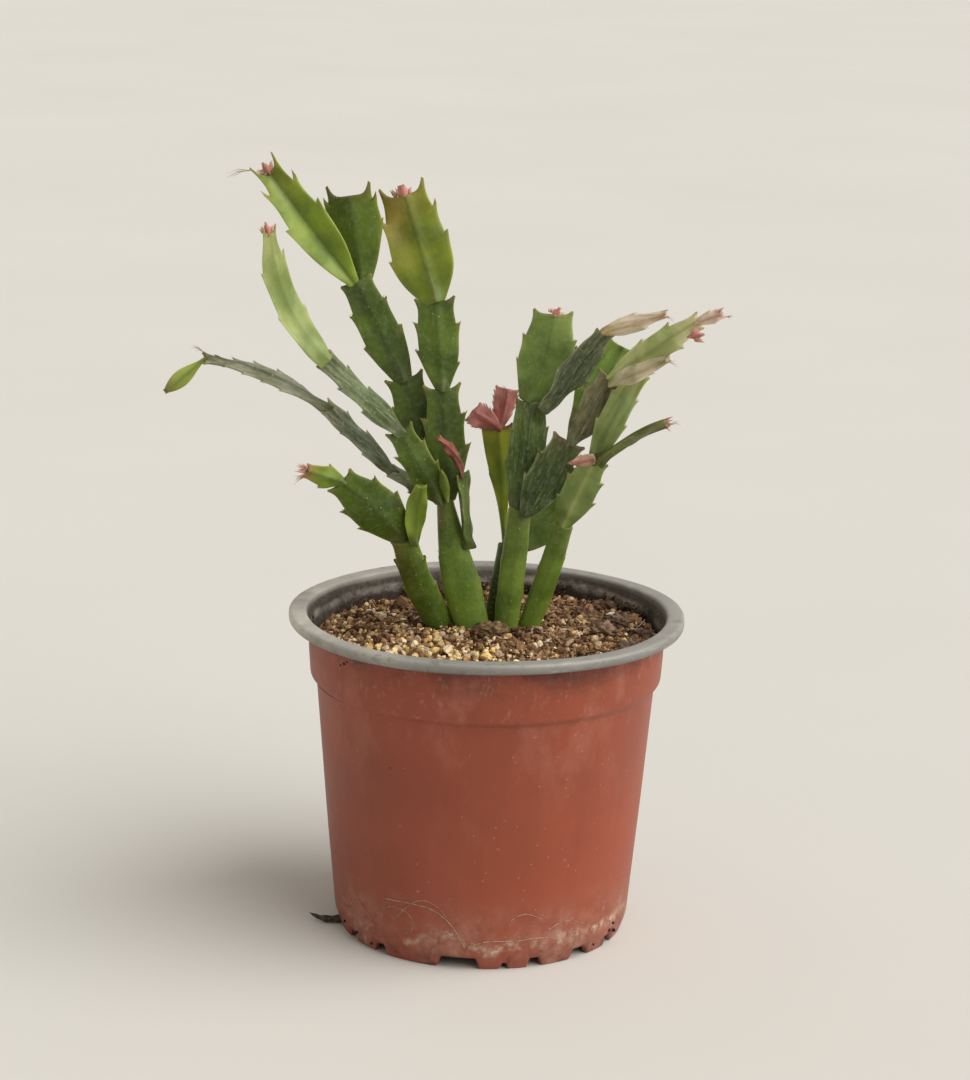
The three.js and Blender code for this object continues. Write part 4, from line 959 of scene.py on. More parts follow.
def soilHeight(x, y):
    # A low mound, with broad lumps and finer crumbs, and a bank against the wall on the right.
    mound = soil["mound"] * np.exp(-(x * x + (y - soil["moundY"]) ** 2) / (2 * soil["spread"] ** 2))
    lumps = 0.9 * valueNoise(x, y, 11, 1) + 0.6 * valueNoise(x, y, 4.3, 2)
    bank = 1.7 * smooth(np.hypot(x, y), 40, 56) * smooth(x + 0.6 * y, -5, 45)
    return soil["edge"] + mound + lumps + bank


def inGrit(x, y):
    # How much of the ground is covered with grit: the front left, and thinly the left side.
    angle = np.degrees(np.arctan2(y, x)) % 360
    distance = np.hypot(x, y)
    wander = 9 * valueNoise(x, y, 10, 5)
    front = smooth(angle + wander, 190, 214) * (1 - smooth(angle + wander, 266, 290))
    left = 0.12 * smooth(angle + wander, 120, 150) * (1 - smooth(angle + wander, 300, 335))
    return np.maximum(front, left) * smooth(distance + wander, grit["inner"] - 4, grit["inner"] + 9)


def earthMaterial(name, dark, roughness=0.95, scale=520):
    # Each piece's own colours, darkened by grain, with bumps at two sizes.
    material = newMaterial(name, roughness, 0.25)
    place = objectPlace()
    grain = noise(place, scale, 5, 0.65)
    shade = mixed(between(grain, 0.3, 0.7), dark, "ffffff")
    feed("Base Color", mixed(1.0, attribute("tint"), shade, "MULTIPLY"))
    under = bumped(grain, 0.35, 0.8)
    bumped(noise(place, scale * 3, 3), 0.08, 0.6, under)
    return material


def buildSoil(material):
    # A disc of rings whose height is the soil's, with crumbs; a skirt and a flat underside
    # close it inside the pot.
    ring = np.sqrt(np.linspace(0.00002, 1, soil["rings"]))[:, None] * soil["radius"]
    angle = np.linspace(0, 2 * np.pi, soil["segments"], endpoint=False)[None, :]
    x, y = ring * np.cos(angle), ring * np.sin(angle)
    crumbs = (np.abs(valueNoise(x, y, 2.1, 11)) + 0.7 * np.abs(valueNoise(x, y, 1.0, 12))
              + 0.4 * valueNoise(x, y, 0.5, 13))
    top = np.stack([x, y, soilHeight(x, y) + 1.2 * crumbs - 0.6], -1)
    skirt = top[-1:].copy()
    skirt[..., 2] = soil["edge"] - soil["depth"]
    points = np.concatenate([top, skirt, skirt * [0.01, 0.01, 1]])
    quads = gridQuads(len(points), soil["segments"], wrap=True)[:, ::-1]
    centre = len(points) * soil["segments"]
    closing = np.concatenate([fan(0, soil["segments"], centre),
                              fan(centre - soil["segments"], soil["segments"], centre + 1, True)])
    poles = [[0, 0, top[0, :, 2].mean()], [0, 0, skirt[0, 0, 2]]]
    points = np.concatenate([points.reshape(-1, 3), poles])
    crumbs = np.append(crumbs.ravel(), np.zeros(2 * soil["segments"] + 2))
    damp = smooth(valueNoise(points[:, 0], points[:, 1], 15, 21), -0.5, 0.6)[:, None]
    tints = blended(soil["dark"], soil["pale"], smooth(crumbs, 0.1, 1.1)[:, None]) * (0.7 + 0.55 * damp)
    makePiece("soilGround", points, quads, closing, material, ["soil"], tints)


def scatter(random, count, density, radius):
    # Random places on the ground, kept where the density says so.
    distance, angle = np.sqrt(random.uniform(0, 1, count)) * radius, random.uniform(0, 2 * np.pi, count)
    x, y = distance * np.cos(angle), distance * np.sin(angle)
    keep = random.uniform(0, 1, count) < density(x, y)
    return x[keep], y[keep]


def spread(x, y, reach, rounds=7):
    # Packs places: in each round the ones that no earlier place crowds are taken, and
    # whatever stands closer to them than their reach allows is dropped.
    close = np.hypot(x[:, None] - x, y[:, None] - y) < (reach[:, None] + reach) * 0.78
    np.fill_diagonal(close, False)
    earlier = np.tril(close)
    left, taken = np.ones(len(x), bool), np.zeros(len(x), bool)
    for _ in range(rounds):
        free = left & ~(earlier & left).any(1)
        taken |= free
        left &= ~free & ~close[:, free].any(1)
    return taken


def rotations(random, count):
    # Random turns as matrices, from unit quaternions.
    quaternion = random.normal(0, 1, (4, count))
    w, x, y, z = quaternion / np.linalg.norm(quaternion, axis=0)
    return np.stack([
        np.stack([1 - 2 * (y * y + z * z), 2 * (x * y - z * w), 2 * (x * z + y * w)], -1),
        np.stack([2 * (x * y + z * w), 1 - 2 * (x * x + z * z), 2 * (y * z - x * w)], -1),
        np.stack([2 * (x * z - y * w), 2 * (y * z + x * w), 1 - 2 * (x * x + y * y)], -1)], -2)


def roundLump(cuts):
    # A cube's six faces as grids of cuts cells, blown up to a ball: points and quads.
    line = np.tan(np.linspace(-np.pi / 4, np.pi / 4, cuts + 1))
    u, v = (a.ravel() for a in np.meshgrid(line, line, indexing="ij"))
    one = np.ones_like(u)
    sides = [(u, v, one), (v, u, -one), (one, u, v), (-one, v, u), (v, one, u), (u, -one, v)]
    points = unit(np.concatenate([np.stack(s, -1) for s in sides]))
    quads = copies(gridQuads(cuts + 1, cuts + 1), 6, (cuts + 1) ** 2)
    # One point for each place on the edges that two faces share.
    unique, number = np.unique(np.round(points, 5), axis=0, return_inverse=True)
    quads = number.ravel()[quads]
    a, b, c = (unique[quads[:, k]] for k in (0, 1, 2))
    outward = (np.cross(b - a, c - b) * a).sum(1) > 0
    quads[~outward] = quads[~outward][:, ::-1]
    return unique, quads


def lumps(random, x, y, z, size, flatness, roughness, cuts, facets=0):
    # Copies of the ball, knobbed, cut by random planes, stretched, turned and set down.
    ball, quads = roundLump(cuts)
    count = len(x)
    shape = ball * (1 + roughness * random.uniform(-1, 1, (count, len(ball), 1)))
    for _ in range(facets):
        way = unit(random.normal(0, 1, (count, 1, 3)))
        past = (shape * way).sum(2, keepdims=True) - random.uniform(0.5, 0.85, (count, 1, 1))
        shape = shape - np.clip(past, 0, None) * way
    stretch = random.uniform(1 - flatness, 1, (count, 1, 3)) * size[:, None, None]
    turned = np.einsum("nij,nvj->nvi", rotations(random, count), shape * stretch)
    points = turned + np.stack([x, y, z], -1)[:, None]
    return points.reshape(-1, 3), copies(quads, count, len(ball)), len(ball)


def pick(random, count, hues):
    # One of the hues for each piece, by their shares, a little darker or lighter.
    shares = np.array(list(hues.values())) / sum(hues.values())
    choice = random.choice(len(hues), count, p=shares)
    tones = np.array([linear(hue) for hue in hues])[choice]
    return tones * random.uniform(0.8, 1.15, (count, 1))


def strew(name, shapes, tones, material, replaced=(), flat=True):
    # Many small shapes as one piece, each in a tone of its own.
    points, quads, each = shapes
    makePiece(name, points, quads, [], material, replaced, np.repeat(tones, each, 0), flat=flat)


def buildGrit(material):
    # Cut stones that lie closest at the front left, the larger ones with more faces.
    random = np.random.default_rng(41)
    density = lambda x, y: grit["elsewhere"] + 0.95 * inGrit(x, y)
    x, y = scatter(random, grit["count"], density, grit["outer"])
    size = random.uniform(*grit["size"], len(x)) / 2
    size = size * random.choice([0.7, 1, 1.3], len(x), p=[0.3, 0.45, 0.25])
    size = size * (0.55 + 0.55 * smooth(inGrit(x, y), 0.4, 0.9))
    keep = spread(x, y, size)
    x, y, size = x[keep], y[keep], size[keep]
    z = soilHeight(x, y) + size * 0.5 + 0.7
    large = size > grit["smallest"]
    kinds = (("gritPebbles", large, 3, ["grit"]), ("gritGrains", ~large, 2, ()))
    for name, part, cuts, replaced in kinds:
        shapes = lumps(random, x[part], y[part], z[part], size[part], 0.42, 0.05, cuts, 8)
        tones = pick(random, part.sum(), grit["hues"]) * grit["brightness"]
        strew(name, shapes, tones, material, replaced)
        print(name, part.sum())


# Lumps and crumbs of earth, and finer grains that are no more than knobbed cubes.
crumbs = dict(
    soilLumps=dict(count=420, radius=(1.0, 1.9), cuts=4),
    soilCrumbs=dict(count=4200, radius=(0.35, 1.1), cuts=2),
    soilGrains=dict(count=12000, radius=(0.16, 0.42), cuts=1),
)
crumbHues = {"8c694b": 4, "a98260": 5, "c6a47a": 4, "5e402e": 2.4, "dcc39e": 1.2}


def buildCrumbs(material):
    # Knobbed and cut balls, thinly where the grit lies.
    random = np.random.default_rng(43)
    density = lambda x, y: 1 - 0.92 * inGrit(x, y)
    for name, kind in crumbs.items():
        x, y = scatter(random, kind["count"], density, soil["radius"] - 0.8)
        size = random.uniform(*kind["radius"], len(x))
        size = size * random.choice([0.7, 1, 1.6], len(x), p=[0.5, 0.42, 0.08])
        z = soilHeight(x, y) + size * 0.5 + 0.25
        shapes = lumps(random, x, y, z, size, 0.45, 0.22, kind["cuts"], 3)
        strew(name, shapes, pick(random, len(x), crumbHues) * 1.2, material)


wallDirt = dict(count=2600, radius=57.0, foot=98.2, rise=1.5, highest=5.4, size=(0.2, 0.7),
                hues={"4a3626": 4, "634c38": 4, "7c6148": 3, "a08868": 2, "3a2a1e": 2})


def buildWallDirt(material):
    # Earth that clings to the wall inside, thickest just above the soil.
    random, count = np.random.default_rng(45), wallDirt["count"]
    angle, up = random.uniform(0, 2 * np.pi, count), random.exponential(wallDirt["rise"], count)
    patchy = valueNoise(np.cos(angle) * 40, np.sin(angle) * 40, 7, 46) > -0.25
    keep = patchy & (up < wallDirt["highest"])
    angle, up = angle[keep], up[keep]
    size = random.uniform(*wallDirt["size"], len(up))
    size = size * random.choice([0.7, 1, 1.7], len(up), p=[0.5, 0.4, 0.1])
    x, y = wallDirt["radius"] * np.cos(angle), wallDirt["radius"] * np.sin(angle)
    shapes = lumps(random, x, y, wallDirt["foot"] + up, size, 0.45, 0.22, 2, 3)
    strew("wallDirt", shapes, pick(random, len(up), wallDirt["hues"]), material)


def flakes(random, x, y, z, length, width, thick, lean):
    # Slivers: rings of six points along a line, tapered at both ends, bowed and turned.
    rows, count = 7, len(x)
    s = np.linspace(-1, 1, rows)
    taper = np.sqrt(np.clip(1 - np.abs(s) ** 2.6, 0.04, 1))[None, :, None]
    s = s[None, :, None]
    across, layer = np.array([-1, 0, 1, 1, 0, -1]), np.array([0.6, 1, 0.6, -0.6, -1, -0.6])
    length, width, thick = (size[:, None, None] for size in (length, width, thick))
    bow = random.uniform(-0.16, 0.16, (count, 1, 1))
    px = s * length / 2 + 0 * across
    uneven = 1 + random.uniform(-0.3, 0.3, (count, rows, 1))
    py = across * (taper * width / 2) * uneven + bow * (s ** 2) * length
    pz = layer * (thick / 2) * taper + bow * 0.7 * (1 - s ** 2) * length * 0.6
    yaw, pitch = random.uniform(0, 2 * np.pi, count), random.normal(0, lean, count)
    roll = random.normal(0, lean * 1.5, count)
    cy, sy, cp, sp, cr, sr = (f(a) for a in (yaw, pitch, roll) for f in (np.cos, np.sin))
    no, one = 0 * yaw, 0 * yaw + 1
    about = lambda *lines: np.stack([np.stack(line, -1) for line in lines], -2)
    turn = (about([cy, -sy, no], [sy, cy, no], [no, no, one])
            @ about([cp, no, sp], [no, one, no], [-sp, no, cp])
            @ about([one, no, no], [no, cr, -sr], [no, sr, cr]))
    points = np.einsum("nij,nrcj->nrci", turn, np.stack([px, py, pz], -1))
    points = points + np.stack([x, y, z], -1)[:, None, None]
    ends = np.array([[0, 5, 4, 1], [1, 4, 3, 2]])
    body = gridQuads(rows, 6, wrap=True)[:, ::-1]
    cell = np.concatenate([body, ends[:, ::-1], ends + (rows - 1) * 6])
    return points.reshape(-1, 3), copies(cell, count, rows * 6), rows * 6


bark = dict(count=1500, share=0.55, length=(1.4, 5.2), width=(0.18, 0.42), thick=(0.35, 0.8), lean=0.22,
            hues={"745640": 4, "9a7655": 5, "bc966d": 4, "d8ba92": 2.6, "efe2ca": 1.8})
chips = dict(length=(8, 9, 6.4), width=(2.8, 2.2, 3.0), thick=(1.2, 1.0, 1.3), lean=0.1,
             hues=("b99a72", "cbb18a", "a5835c"))


def buildFlakes(material):
    # Slivers of bark all over the soil, and three large chips where their nodes lie.
    random = np.random.default_rng(47)
    density = lambda x, y: bark["share"] * (1 - 0.85 * inGrit(x, y))
    x, y = scatter(random, bark["count"], density, soil["radius"] - 3)
    length = random.uniform(*bark["length"], len(x))
    width = length * random.uniform(*bark["width"], len(x))
    thick = random.uniform(*bark["thick"], len(x))
    shapes = flakes(random, x, y, soilHeight(x, y) + 0.9, length, width, thick, bark["lean"])
    strew("barkFlakes", shapes, pick(random, len(x), bark["hues"]), material, flat=False)
    names = [f"bark_chip_{k}" for k in (1, 2, 3)]
    middles = np.array([(low + high) / 2 for low, high in (np.array(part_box(name)) for name in names)])
    middles = (middles - potAxis) / millimetre + [0, 0, 0.2]
    sizes = (np.array(chips[key]) for key in ("length", "width", "thick"))
    shapes = flakes(np.random.default_rng(48), *middles.T, *sizes, chips["lean"])
    tones = np.array([linear(hue) for hue in chips["hues"]])
    strew("barkChips", shapes, tones, material, names, flat=False)


def tubes(paths, radius, sides=5, flatten=1.0):
    # Round strands: paths is (strand, step, 3); each step gets a ring square to the path.
    count, steps = paths.shape[:2]
    forward = unit(np.gradient(paths, axis=1))
    across = np.cross(forward, np.array([0, 0, 1.0]) + 0 * forward)
    across /= np.linalg.norm(across, axis=-1, keepdims=True) + 1e-9
    up = np.cross(across, forward)
    radius = np.broadcast_to(radius, (count, steps))[..., None, None]
    points = paths[:, :, None] + circle(across, flatten * up, sides) * radius
    ends = np.stack([paths[:, 0], paths[:, -1]], 1)
    strand = np.concatenate([points.reshape(count, -1, 3), ends], 1)
    end = steps * sides
    caps = np.concatenate([fan(0, sides, end), fan(end - sides, sides, end + 1, True)])
    quads = copies(gridQuads(steps, sides, wrap=True)[:, ::-1], count, end + 2)
    return strand.reshape(-1, 3), quads, copies(caps, count, end + 2)


fibre = dict(count=420, steps=14, length=(5, 20), wander=0.28, thick=(0.1, 0.36), rootThick=0.45,
             rootHue="b89a74", hues={"4b3626": 4, "6b513b": 4, "8f7254": 3, "bea682": 1.5, "2a1d14": 3})


def buildFibres(material):
    # Roots and fibres: each wanders over the ground with a slowly turning heading.
    random, steps = np.random.default_rng(53), fibre["steps"]
    density = lambda x, y: 0.35 * (1 - 0.8 * inGrit(x, y)) + 0.25 * smooth(np.hypot(x, y), 40, 54)
    x, y = scatter(random, fibre["count"], density, 53)
    count = len(x)
    length = random.uniform(*fibre["length"], count)
    heading = random.uniform(0, 2 * np.pi, (count, 1))
    heading = heading + np.cumsum(random.normal(0, fibre["wander"], (count, steps)), 1)
    step = (length / steps)[:, None]
    px = x[:, None] + np.cumsum(np.cos(heading), 1) * step
    py = y[:, None] + np.cumsum(np.sin(heading), 1) * step
    far = np.maximum(np.hypot(px, py) / 55.0, 1)  # keeps them inside the wall
    px, py = px / far, py / far
    arch = np.sin(np.linspace(0, np.pi, steps)) * random.uniform(0, 3.0, (count, 1)) ** 1.2 * 0.6
    arch *= 1 + 1.6 * smooth((y - x)[:, None], 40, 70)
    pz = soilHeight(px, py) + 0.5 + arch
    thick = random.uniform(*fibre["thick"], count)[:, None] * np.linspace(1, 0.45, steps)
    # One long pale root lies across the front right.
    t = np.linspace(0, 1, steps)
    px[0], py[0] = 27 - 8 * t + 3 * np.sin(5 * t), -19 - 31 * t
    pz[0] = soilHeight(px[0], py[0]) + 1 + 1.6 * np.sin(np.pi * t)
    thick[0] = fibre["rootThick"]
    points, quads, triangles = tubes(np.stack([px, py, pz], -1), thick)
    tones = pick(random, count, fibre["hues"])
    tones[0] = linear(fibre["rootHue"])
    tints = np.repeat(tones, len(points) // count, 0)
    makePiece("fibres", points, quads, triangles, material, (), tints)


def lumpSurface(centre, radii, seed, knobs, rows=26, columns=40):
    # A knobbed ball of rings between two poles.
    polar, angle = np.meshgrid(np.linspace(0, np.pi, rows)[1:-1],
                               np.linspace(0, 2 * np.pi, columns, endpoint=False), indexing="ij")
    ball = np.stack([np.sin(polar) * np.cos(angle), np.sin(polar) * np.sin(angle), np.cos(polar)], -1)
    x, y, z = (ball[..., k] for k in range(3))
    bumps = 1 + knobs * (valueNoise(x * 3 + z * 2, y * 3 - z, 1.1, seed)
                         + 0.6 * valueNoise(x * 7, y * 7 + z * 5, 1.1, seed + 1)
                         + 0.35 * valueNoise(x * 17 + z * 9, y * 17, 1.1, seed + 2))
    body = (ball * bumps[..., None] * radii + centre).reshape(-1, 3)
    poles = np.array([[0, 0, radii[2]], [0, 0, -radii[2]]]) + centre
    quads = gridQuads(rows - 2, columns, wrap=True)[:, ::-1]
    triangles = np.concatenate([fan(0, columns, len(body)),
                                fan(len(body) - columns, columns, len(body) + 1, True)])
    return np.concatenate([body, poles]), quads, triangles


# The clod at the foot of the stems, and smaller ones about the ground: x, y, size and tone.
clod = dict(centre=(1.5, -7.6, 102.2), radii=(5.2, 3.6, 2.6), dark="5f4932", pale="ab8e68")
clods = [
    (12, -42, 3.0, "3a2416"), (24, -8, 3.4, "8a6d50"), (38, 6, 5.0, "8a715c"),
    (47, -10, 4.6, "7d6858"), (33, 28, 4.8, "856a52"), (46, 18, 5.4, "75604f"),
    (51, 4, 4.6, "6a5648"), (40, 36, 4.4, "6f5844"), (-12, -12, 2.8, "8f7356"),
    (-30, 34, 3.4, "5c4432"), (8, -16, 3.2, "85694c"), (-44, 16, 2.8, "6f553e"),
    (30, -26, 3.0, "8d7154"), (14, 30, 3.2, "6a4f3a"),
]


def buildClod(material):
    # Knobbed balls, paler and darker in patches; the small ones are joined into one piece.
    centre, radii = np.array(clod["centre"]), np.array(clod["radii"])
    points, quads, triangles = lumpSurface(centre, radii, 61, 0.3, 48, 72)
    shade = smooth(valueNoise(points[:, 0], points[:, 2], 0.9, 63), -0.8, 0.8)[:, None]
    tints = blended(clod["dark"], clod["pale"], shade)
    makePiece("soilClod", points, quads, triangles, material, ["soil_clod"], tints)
    parts, first = [], 0
    for number, (x, y, size, hue) in enumerate(clods):
        centre = np.array([x, y, soilHeight(np.array(x), np.array(y)) + size * 0.1])
        radii = size * np.array([1, 0.8, 0.55])
        points, quads, triangles = lumpSurface(centre, radii, 65 + 3 * number, 0.34, 36, 54)
        patches = valueNoise(points[:, 0] + points[:, 1], points[:, 2], 0.8, 64)
        shade = smooth(patches, -0.8, 0.8)[:, None]
        parts.append((points, quads + first, triangles + first, linear(hue) * (0.7 + 1.0 * shade)))
        first += len(points)
    points, quads, triangles, tints = (np.concatenate(arrays) for arrays in zip(*parts))
    makePiece("smallClods", points, quads, triangles, material, (), tints)


# A flat scrap of dried root that sticks out from under the foot and ends in a hooked point.
scrap = dict(
    way=[(-45.6, -8.2, 1.5), (-48.6, -8.5, 1.3), (-51.5, -8.5, 1.3), (-54, -8.3, 1.7), (-56, -8.5, 2.7),
         (-57.4, -8.6, 3.6)],
    radius=1.5, flatten=0.75, dark="4a4138", pale="71675a",
)


def buildRootScrap(material):
    # A tube along the smoothed way, whose radius falls to a point with a slight ripple.
    way, t = np.array(scrap["way"]), np.linspace(0, 5, 26)
    path = np.stack([np.interp(t, np.arange(6), way[:, k]) for k in range(3)], -1)
    path = (np.roll(path, 1, 0)[1:-1] + path[1:-1] * 2 + np.roll(path, -1, 0)[1:-1]) / 4
    share = np.linspace(0, 1, len(path))
    radius = scrap["radius"] * np.clip(1.02 - share ** 2.2, 0.06, 1) * (1 + 0.1 * np.sin(share * 19))
    points, quads, triangles = tubes(path[None], radius[None], 12, scrap["flatten"])
    grain = smooth(valueNoise(points[:, 0] * 3, points[:, 2], 1, 71), -0.8, 0.8)[:, None]
    tints = blended(scrap["dark"], scrap["pale"], grain)
    makePiece("rootScrap", points, quads, triangles, material, ["root_scrap"], tints)


earth = earthMaterial("pottingEarth", "8a7a6c")
buildSoil(earth)
buildGrit(earthMaterial("gritStone", "cbb89c", 0.75, 900))
buildCrumbs(earth)
buildWallDirt(earth)
buildFlakes(earthMaterial("barkWood", "8d7a66", 0.85, 900))
rootSkin = earthMaterial("driedRoot", "8d8072", 0.85, 700)
buildFibres(rootSkin)
buildClod(earth)
buildRootScrap(rootSkin)
print("soil made")

# Marks on the pot. Dried root hairs stuck low on the wall: angles from the front in degrees,
# and heights, for five knots each, and how thick each one is.
hairKnots = [
    [(-38, 20.9), (-28, 21.3), (-18, 21.7), (-9.5, 15.8), (-5.5, 7.2)],
    [(-44, 13), (-38, 18.5), (-30, 20), (-24, 15), (-27, 11)],
    [(-33, 15), (-26, 22.5), (-20, 24), (-14, 21), (-12, 17)],
    [(11, 17.5), (14, 19.6), (18, 19.8), (21, 18), (23, 17.4)],
    [(26, 13), (31, 15.5), (37, 15), (42, 12), (45, 12.6)],
    [(-60, 12), (-55, 17), (-50, 16), (-47, 12), (-43, 10)],
    [(-5, 8), (3, 11.5), (12, 9.6), (20, 11.2), (28, 10)],
]
hairRadii = [0.22, 0.16, 0.15, 0.18, 0.15, 0.14, 0.24]
hairHue = "c49f8a"
# Flecks of earth under the lip, on the wall and at the foot: angle, height and size.
flecks = np.array([
    (-50, 98.6, 0.9), (-52, 97.6, 0.6), (-48.6, 99.6, 0.5), (11.5, 102.6, 0.8),
    (11.8, 101.4, 0.6), (12.2, 100.4, 0.45), (40, 94, 0.5), (42, 92, 0.35), (-33, 67, 0.45),
    (8, 92.6, 0.3), (-21, 103, 0.7), (28, 103, 0.8), (-8, 103, 0.5), (36, 103, 0.6),
    (60, 5.5, 1.3), (62.5, 7.4, 1.0), (64, 4.4, 1.2),
    (58, 3.6, 1.0), (-56, 4, 1.0), (-47, 2.5, 0.9), (50, 3, 0.8), (-66, 5, 1.1),
])
fleckHues = {"2b1a12": 3, "3d2a1e": 3, "4d3626": 2}


def wallPoint(angle, height):
    # A place on the pot's outer wall, given its angle from the front and its height.
    radius = np.interp(height, [0, 5, 44, 84, 86, 103], [47.6, 48.9, 52.4, 55.9, 57.9, 58.6]) + 0.1
    return np.stack([radius * np.sin(angle), -radius * np.cos(angle), height], -1)


def buildPotMarks(hair, earthSkin):
    # Thin tubes along lines that are straight from knot to knot and then smoothed many times.
    knots, steps = np.array(hairKnots, float), 40
    t = np.linspace(0, 4, steps)
    joined = lambda rows: np.stack([np.interp(t, np.arange(5), row) for row in rows])
    angle, height = joined(knots[:, :, 0]), joined(knots[:, :, 1])
    for _ in range(50):
        for line in (angle, height):
            line[:, 1:-1] = (line[:, :-2] + 2 * line[:, 1:-1] + line[:, 2:]) / 4
    thick = np.array(hairRadii)[:, None] * np.linspace(1, 0.6, steps)
    points, quads, triangles = tubes(wallPoint(np.radians(angle), height), thick)
    tints = np.tile(linear(hairHue), (len(points), 1))
    makePiece("wallHairs", points, quads, triangles, hair, (), tints)
    random = np.random.default_rng(77)
    spots = wallPoint(np.radians(flecks[:, 0]), flecks[:, 1])
    shapes = lumps(random, *spots.T, flecks[:, 2] * 0.62, 0.5, 0.2, 3)
    tones = pick(random, len(flecks), fleckHues)
    strew("wallFlecks", shapes, tones, earthSkin, flat=False)


buildPotMarks(rootSkin, earth)
print("marks made")


budGroups = dict(
    bud_b2=dict(base=(-70.2, -24.2, 233.4), tip=(-70.9, -24.5, 236.2), size=1.0, count=6, spread=2.4),
    bud_b3=dict(base=(-72.0, 0, 249.2), tip=(-73.6, -0.4, 251.9), size=1.1, count=8, spread=2.8),
    bud_b4=dict(base=(-29.6, 14.3, 240.8), tip=(-30.2, 14.6, 243.6), size=1.1, count=12, spread=5.0),
    bud_d2=dict(base=(20.4, 4.2, 204.6), tip=(21.2, 4.4, 206.4), size=0.9, count=9, spread=4.4),
    bud_d8=dict(base=(62.6, -25.6, 203.8), tip=(65.8, -27, 204.8), size=1.0, count=8, spread=2.4),
    tuft_a2=dict(base=(-56.8, -26.8, 158.4), tip=(-61.2, -28.2, 159.4), size=1.0, count=7, spread=1.6),
    tuft_e3=dict(base=(54.6, -20.8, 175.2), tip=(58.4, -22.6, 175.0), size=0.8, count=5, spread=1.2),
)


leaflet = dict(sides=12, steps=12, flatten=0.7, foot="cc8474", tip="f4c6be")


def buildBuds():
    # Each bud is a small bunch of pointed leaflets: drops turned about lines that fan out.
    material = skinMaterial("budSkin", 0.45, 0.05, 0.5)
    around, steps = leaflet["sides"], leaflet["steps"]
    t = np.linspace(0, 1, steps)
    girth = np.sin(np.pi * t ** 0.62) ** 0.8 * (1 - t) ** 0.25
    # Each end of a drop is closed by strips between two triangles.
    j = np.arange(1, around // 2)
    strip = np.stack([j, j + 1, around - j - 1, around - j], -1)[:-1]
    ends = np.array([[0, 1, around - 1], [around // 2 - 1, around // 2, around // 2 + 1]])
    far, each = (steps - 1) * around, steps * around
    quads = np.concatenate([gridQuads(steps, around, wrap=True), strip + far, strip[:, ::-1]])
    triangles = np.concatenate([ends + far, ends[:, ::-1]])
    for number, (name, bud) in enumerate(budGroups.items()):
        random = np.random.default_rng(300 + number)
        base, tip = np.array(bud["base"]), np.array(bud["tip"])
        long = np.linalg.norm(tip - base)
        forward = (tip - base) / long
        aside = np.cross(forward, [0, -1, 0])
        aside /= np.linalg.norm(aside)
        other = np.cross(aside, forward)
        count = bud["count"]
        place = np.linspace(-1, 1, count)[:, None] + random.normal(0, 0.08, (count, 1))
        roots = base + aside * place * bud["spread"] / 2 + other * random.normal(0, 0.3, (count, 1))
        ways = unit(forward + aside * place * 0.55 + other * random.normal(0, 0.25, (count, 1)))
        lengths = long * random.uniform(0.75, 1.15, (count, 1))
        u = unit(np.cross(ways, other))
        v = np.cross(ways, u)
        radius = (bud["size"] / 2 * (girth + 0.02))[None, :, None, None]
        ring = circle(u[:, None], leaflet["flatten"] * v[:, None], around)
        centre = roots[:, None] + ways[:, None] * (lengths[:, None] * t[:, None])
        points = (centre[:, :, None] + ring * radius).reshape(-1, 3)
        share = np.tile(np.repeat(t, around), count)[:, None]
        layers = dict(tint=blended(leaflet["foot"], leaflet["tip"], share), run=points)
        replaced = [name] if name in pads else ()
        makePiece(name + "_leaflets", points, copies(quads, count, each),
                  copies(triangles, count, each), material, replaced, layers)


buildBuds()
print("buds made")


studio = dict(floorSize=30.0, floorTone="d9d6cf", worldTone="f4f1ea", worldStrength=0.5,
              floorShade="d7d3cb")
# Each lamp's softness and place in degrees; turn is from the front to +X.
lamps = dict(keyLight=dict(energy=2.85, angle=68, height=42, turn=65),
             fillLight=dict(energy=0.3, angle=60, height=22, turn=98))
view = dict(distance=950, height=368, down=14.03, aside=-0.06, roll=1.15, lens=100, film=36)


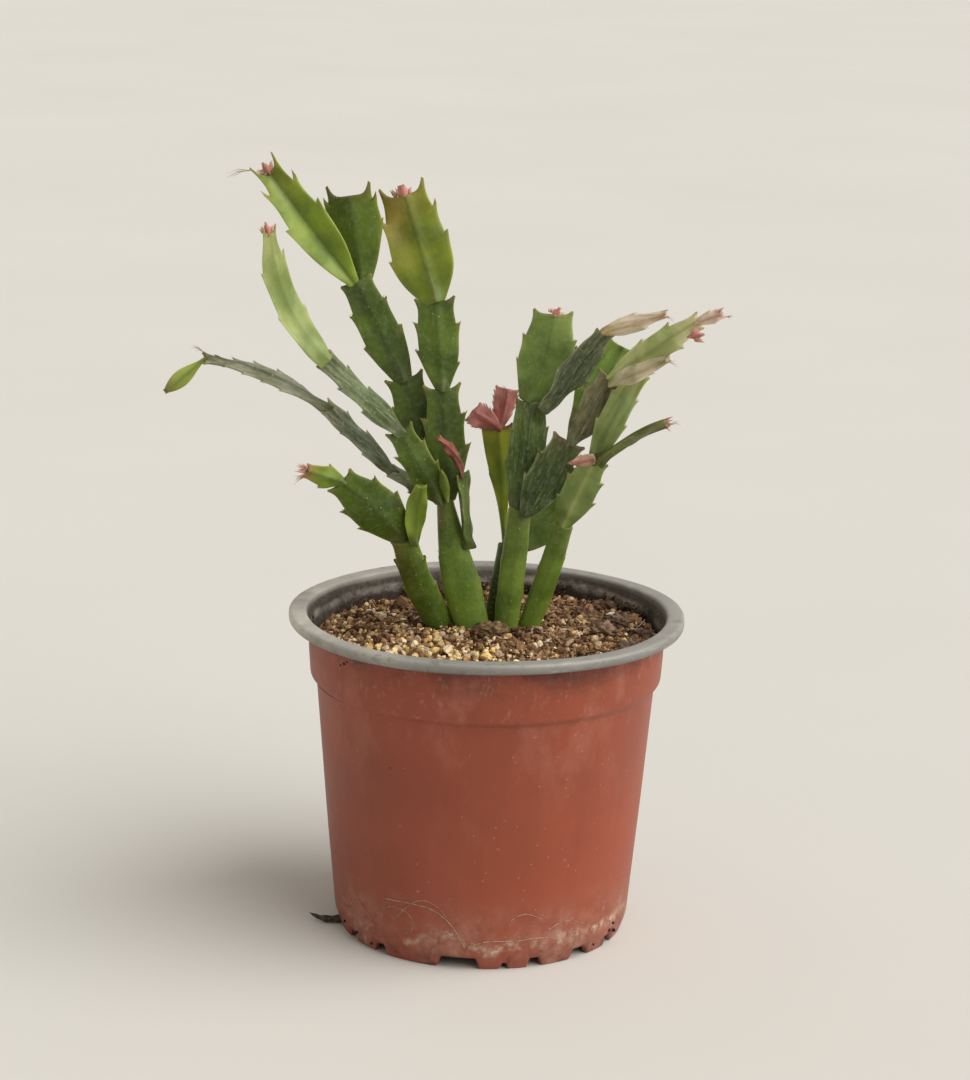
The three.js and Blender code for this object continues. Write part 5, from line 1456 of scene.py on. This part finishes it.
def buildStudio():
    # A wide pale floor, an even sky, and two lamps.
    half = studio["floorSize"] / 2
    mesh = bpy.data.meshes.new("studioFloor")
    corners = [(-half, -half, 0), (half, -half, 0), (half, half, 0), (-half, half, 0)]
    mesh.from_pydata(corners, [], [(0, 1, 2, 3)])
    floor = bpy.data.objects.new("studioFloor", mesh)
    scene.collection.objects.link(floor)
    material = newMaterial("paleFloor", 0.9, 0.1)
    patches = between(noise(objectPlace(), 3), 0.3, 0.7)
    feed("Base Color", mixed(patches, studio["floorTone"], studio["floorShade"]))
    mesh.materials.append(material)
    world = bpy.data.worlds.new("studio")
    world.use_nodes = True
    background = world.node_tree.nodes["Background"]
    background.inputs["Color"].default_value = rgba(studio["worldTone"])
    background.inputs["Strength"].default_value = studio["worldStrength"]
    scene.world = world
    for name, light in lamps.items():
        lamp = bpy.data.lights.new(name, "SUN")
        lamp.energy, lamp.angle = light["energy"], math.radians(light["angle"])
        holder = bpy.data.objects.new(name, lamp)
        turn, up = math.radians(light["turn"]), math.radians(light["height"])
        level = math.cos(up)
        towards = Vector((math.sin(turn) * level, -math.cos(turn) * level, math.sin(up)))
        holder.rotation_mode = "QUATERNION"
        holder.rotation_quaternion = towards.to_track_quat("Z", "Y")
        scene.collection.objects.link(holder)


def buildCamera():
    # Looks from view's place, tipped down, turned aside and rolled, with a 36 mm film.
    down, aside, roll = (math.radians(view[key]) for key in ("down", "aside", "roll"))
    level = math.cos(down)
    ahead = Vector((math.sin(aside) * level, math.cos(aside) * level, -math.sin(down)))
    right = Vector((math.cos(aside), -math.sin(aside), 0))
    up = right.cross(ahead)
    across, over = math.cos(roll), math.sin(roll)
    right, up = right * across + up * over, up * across - right * over
    camera = bpy.data.objects.new("camera", bpy.data.cameras.new("camera"))
    camera.data.lens, camera.data.sensor_width = view["lens"], view["film"]
    camera.data.clip_end = 50
    where = Vector(toFrame([0, -view["distance"], view["height"]]))
    camera.matrix_world = Matrix.Translation(where) @ Matrix((right, up, -ahead)).transposed().to_4x4()
    scene.collection.objects.link(camera)
    scene.camera = camera


buildStudio()
buildCamera()
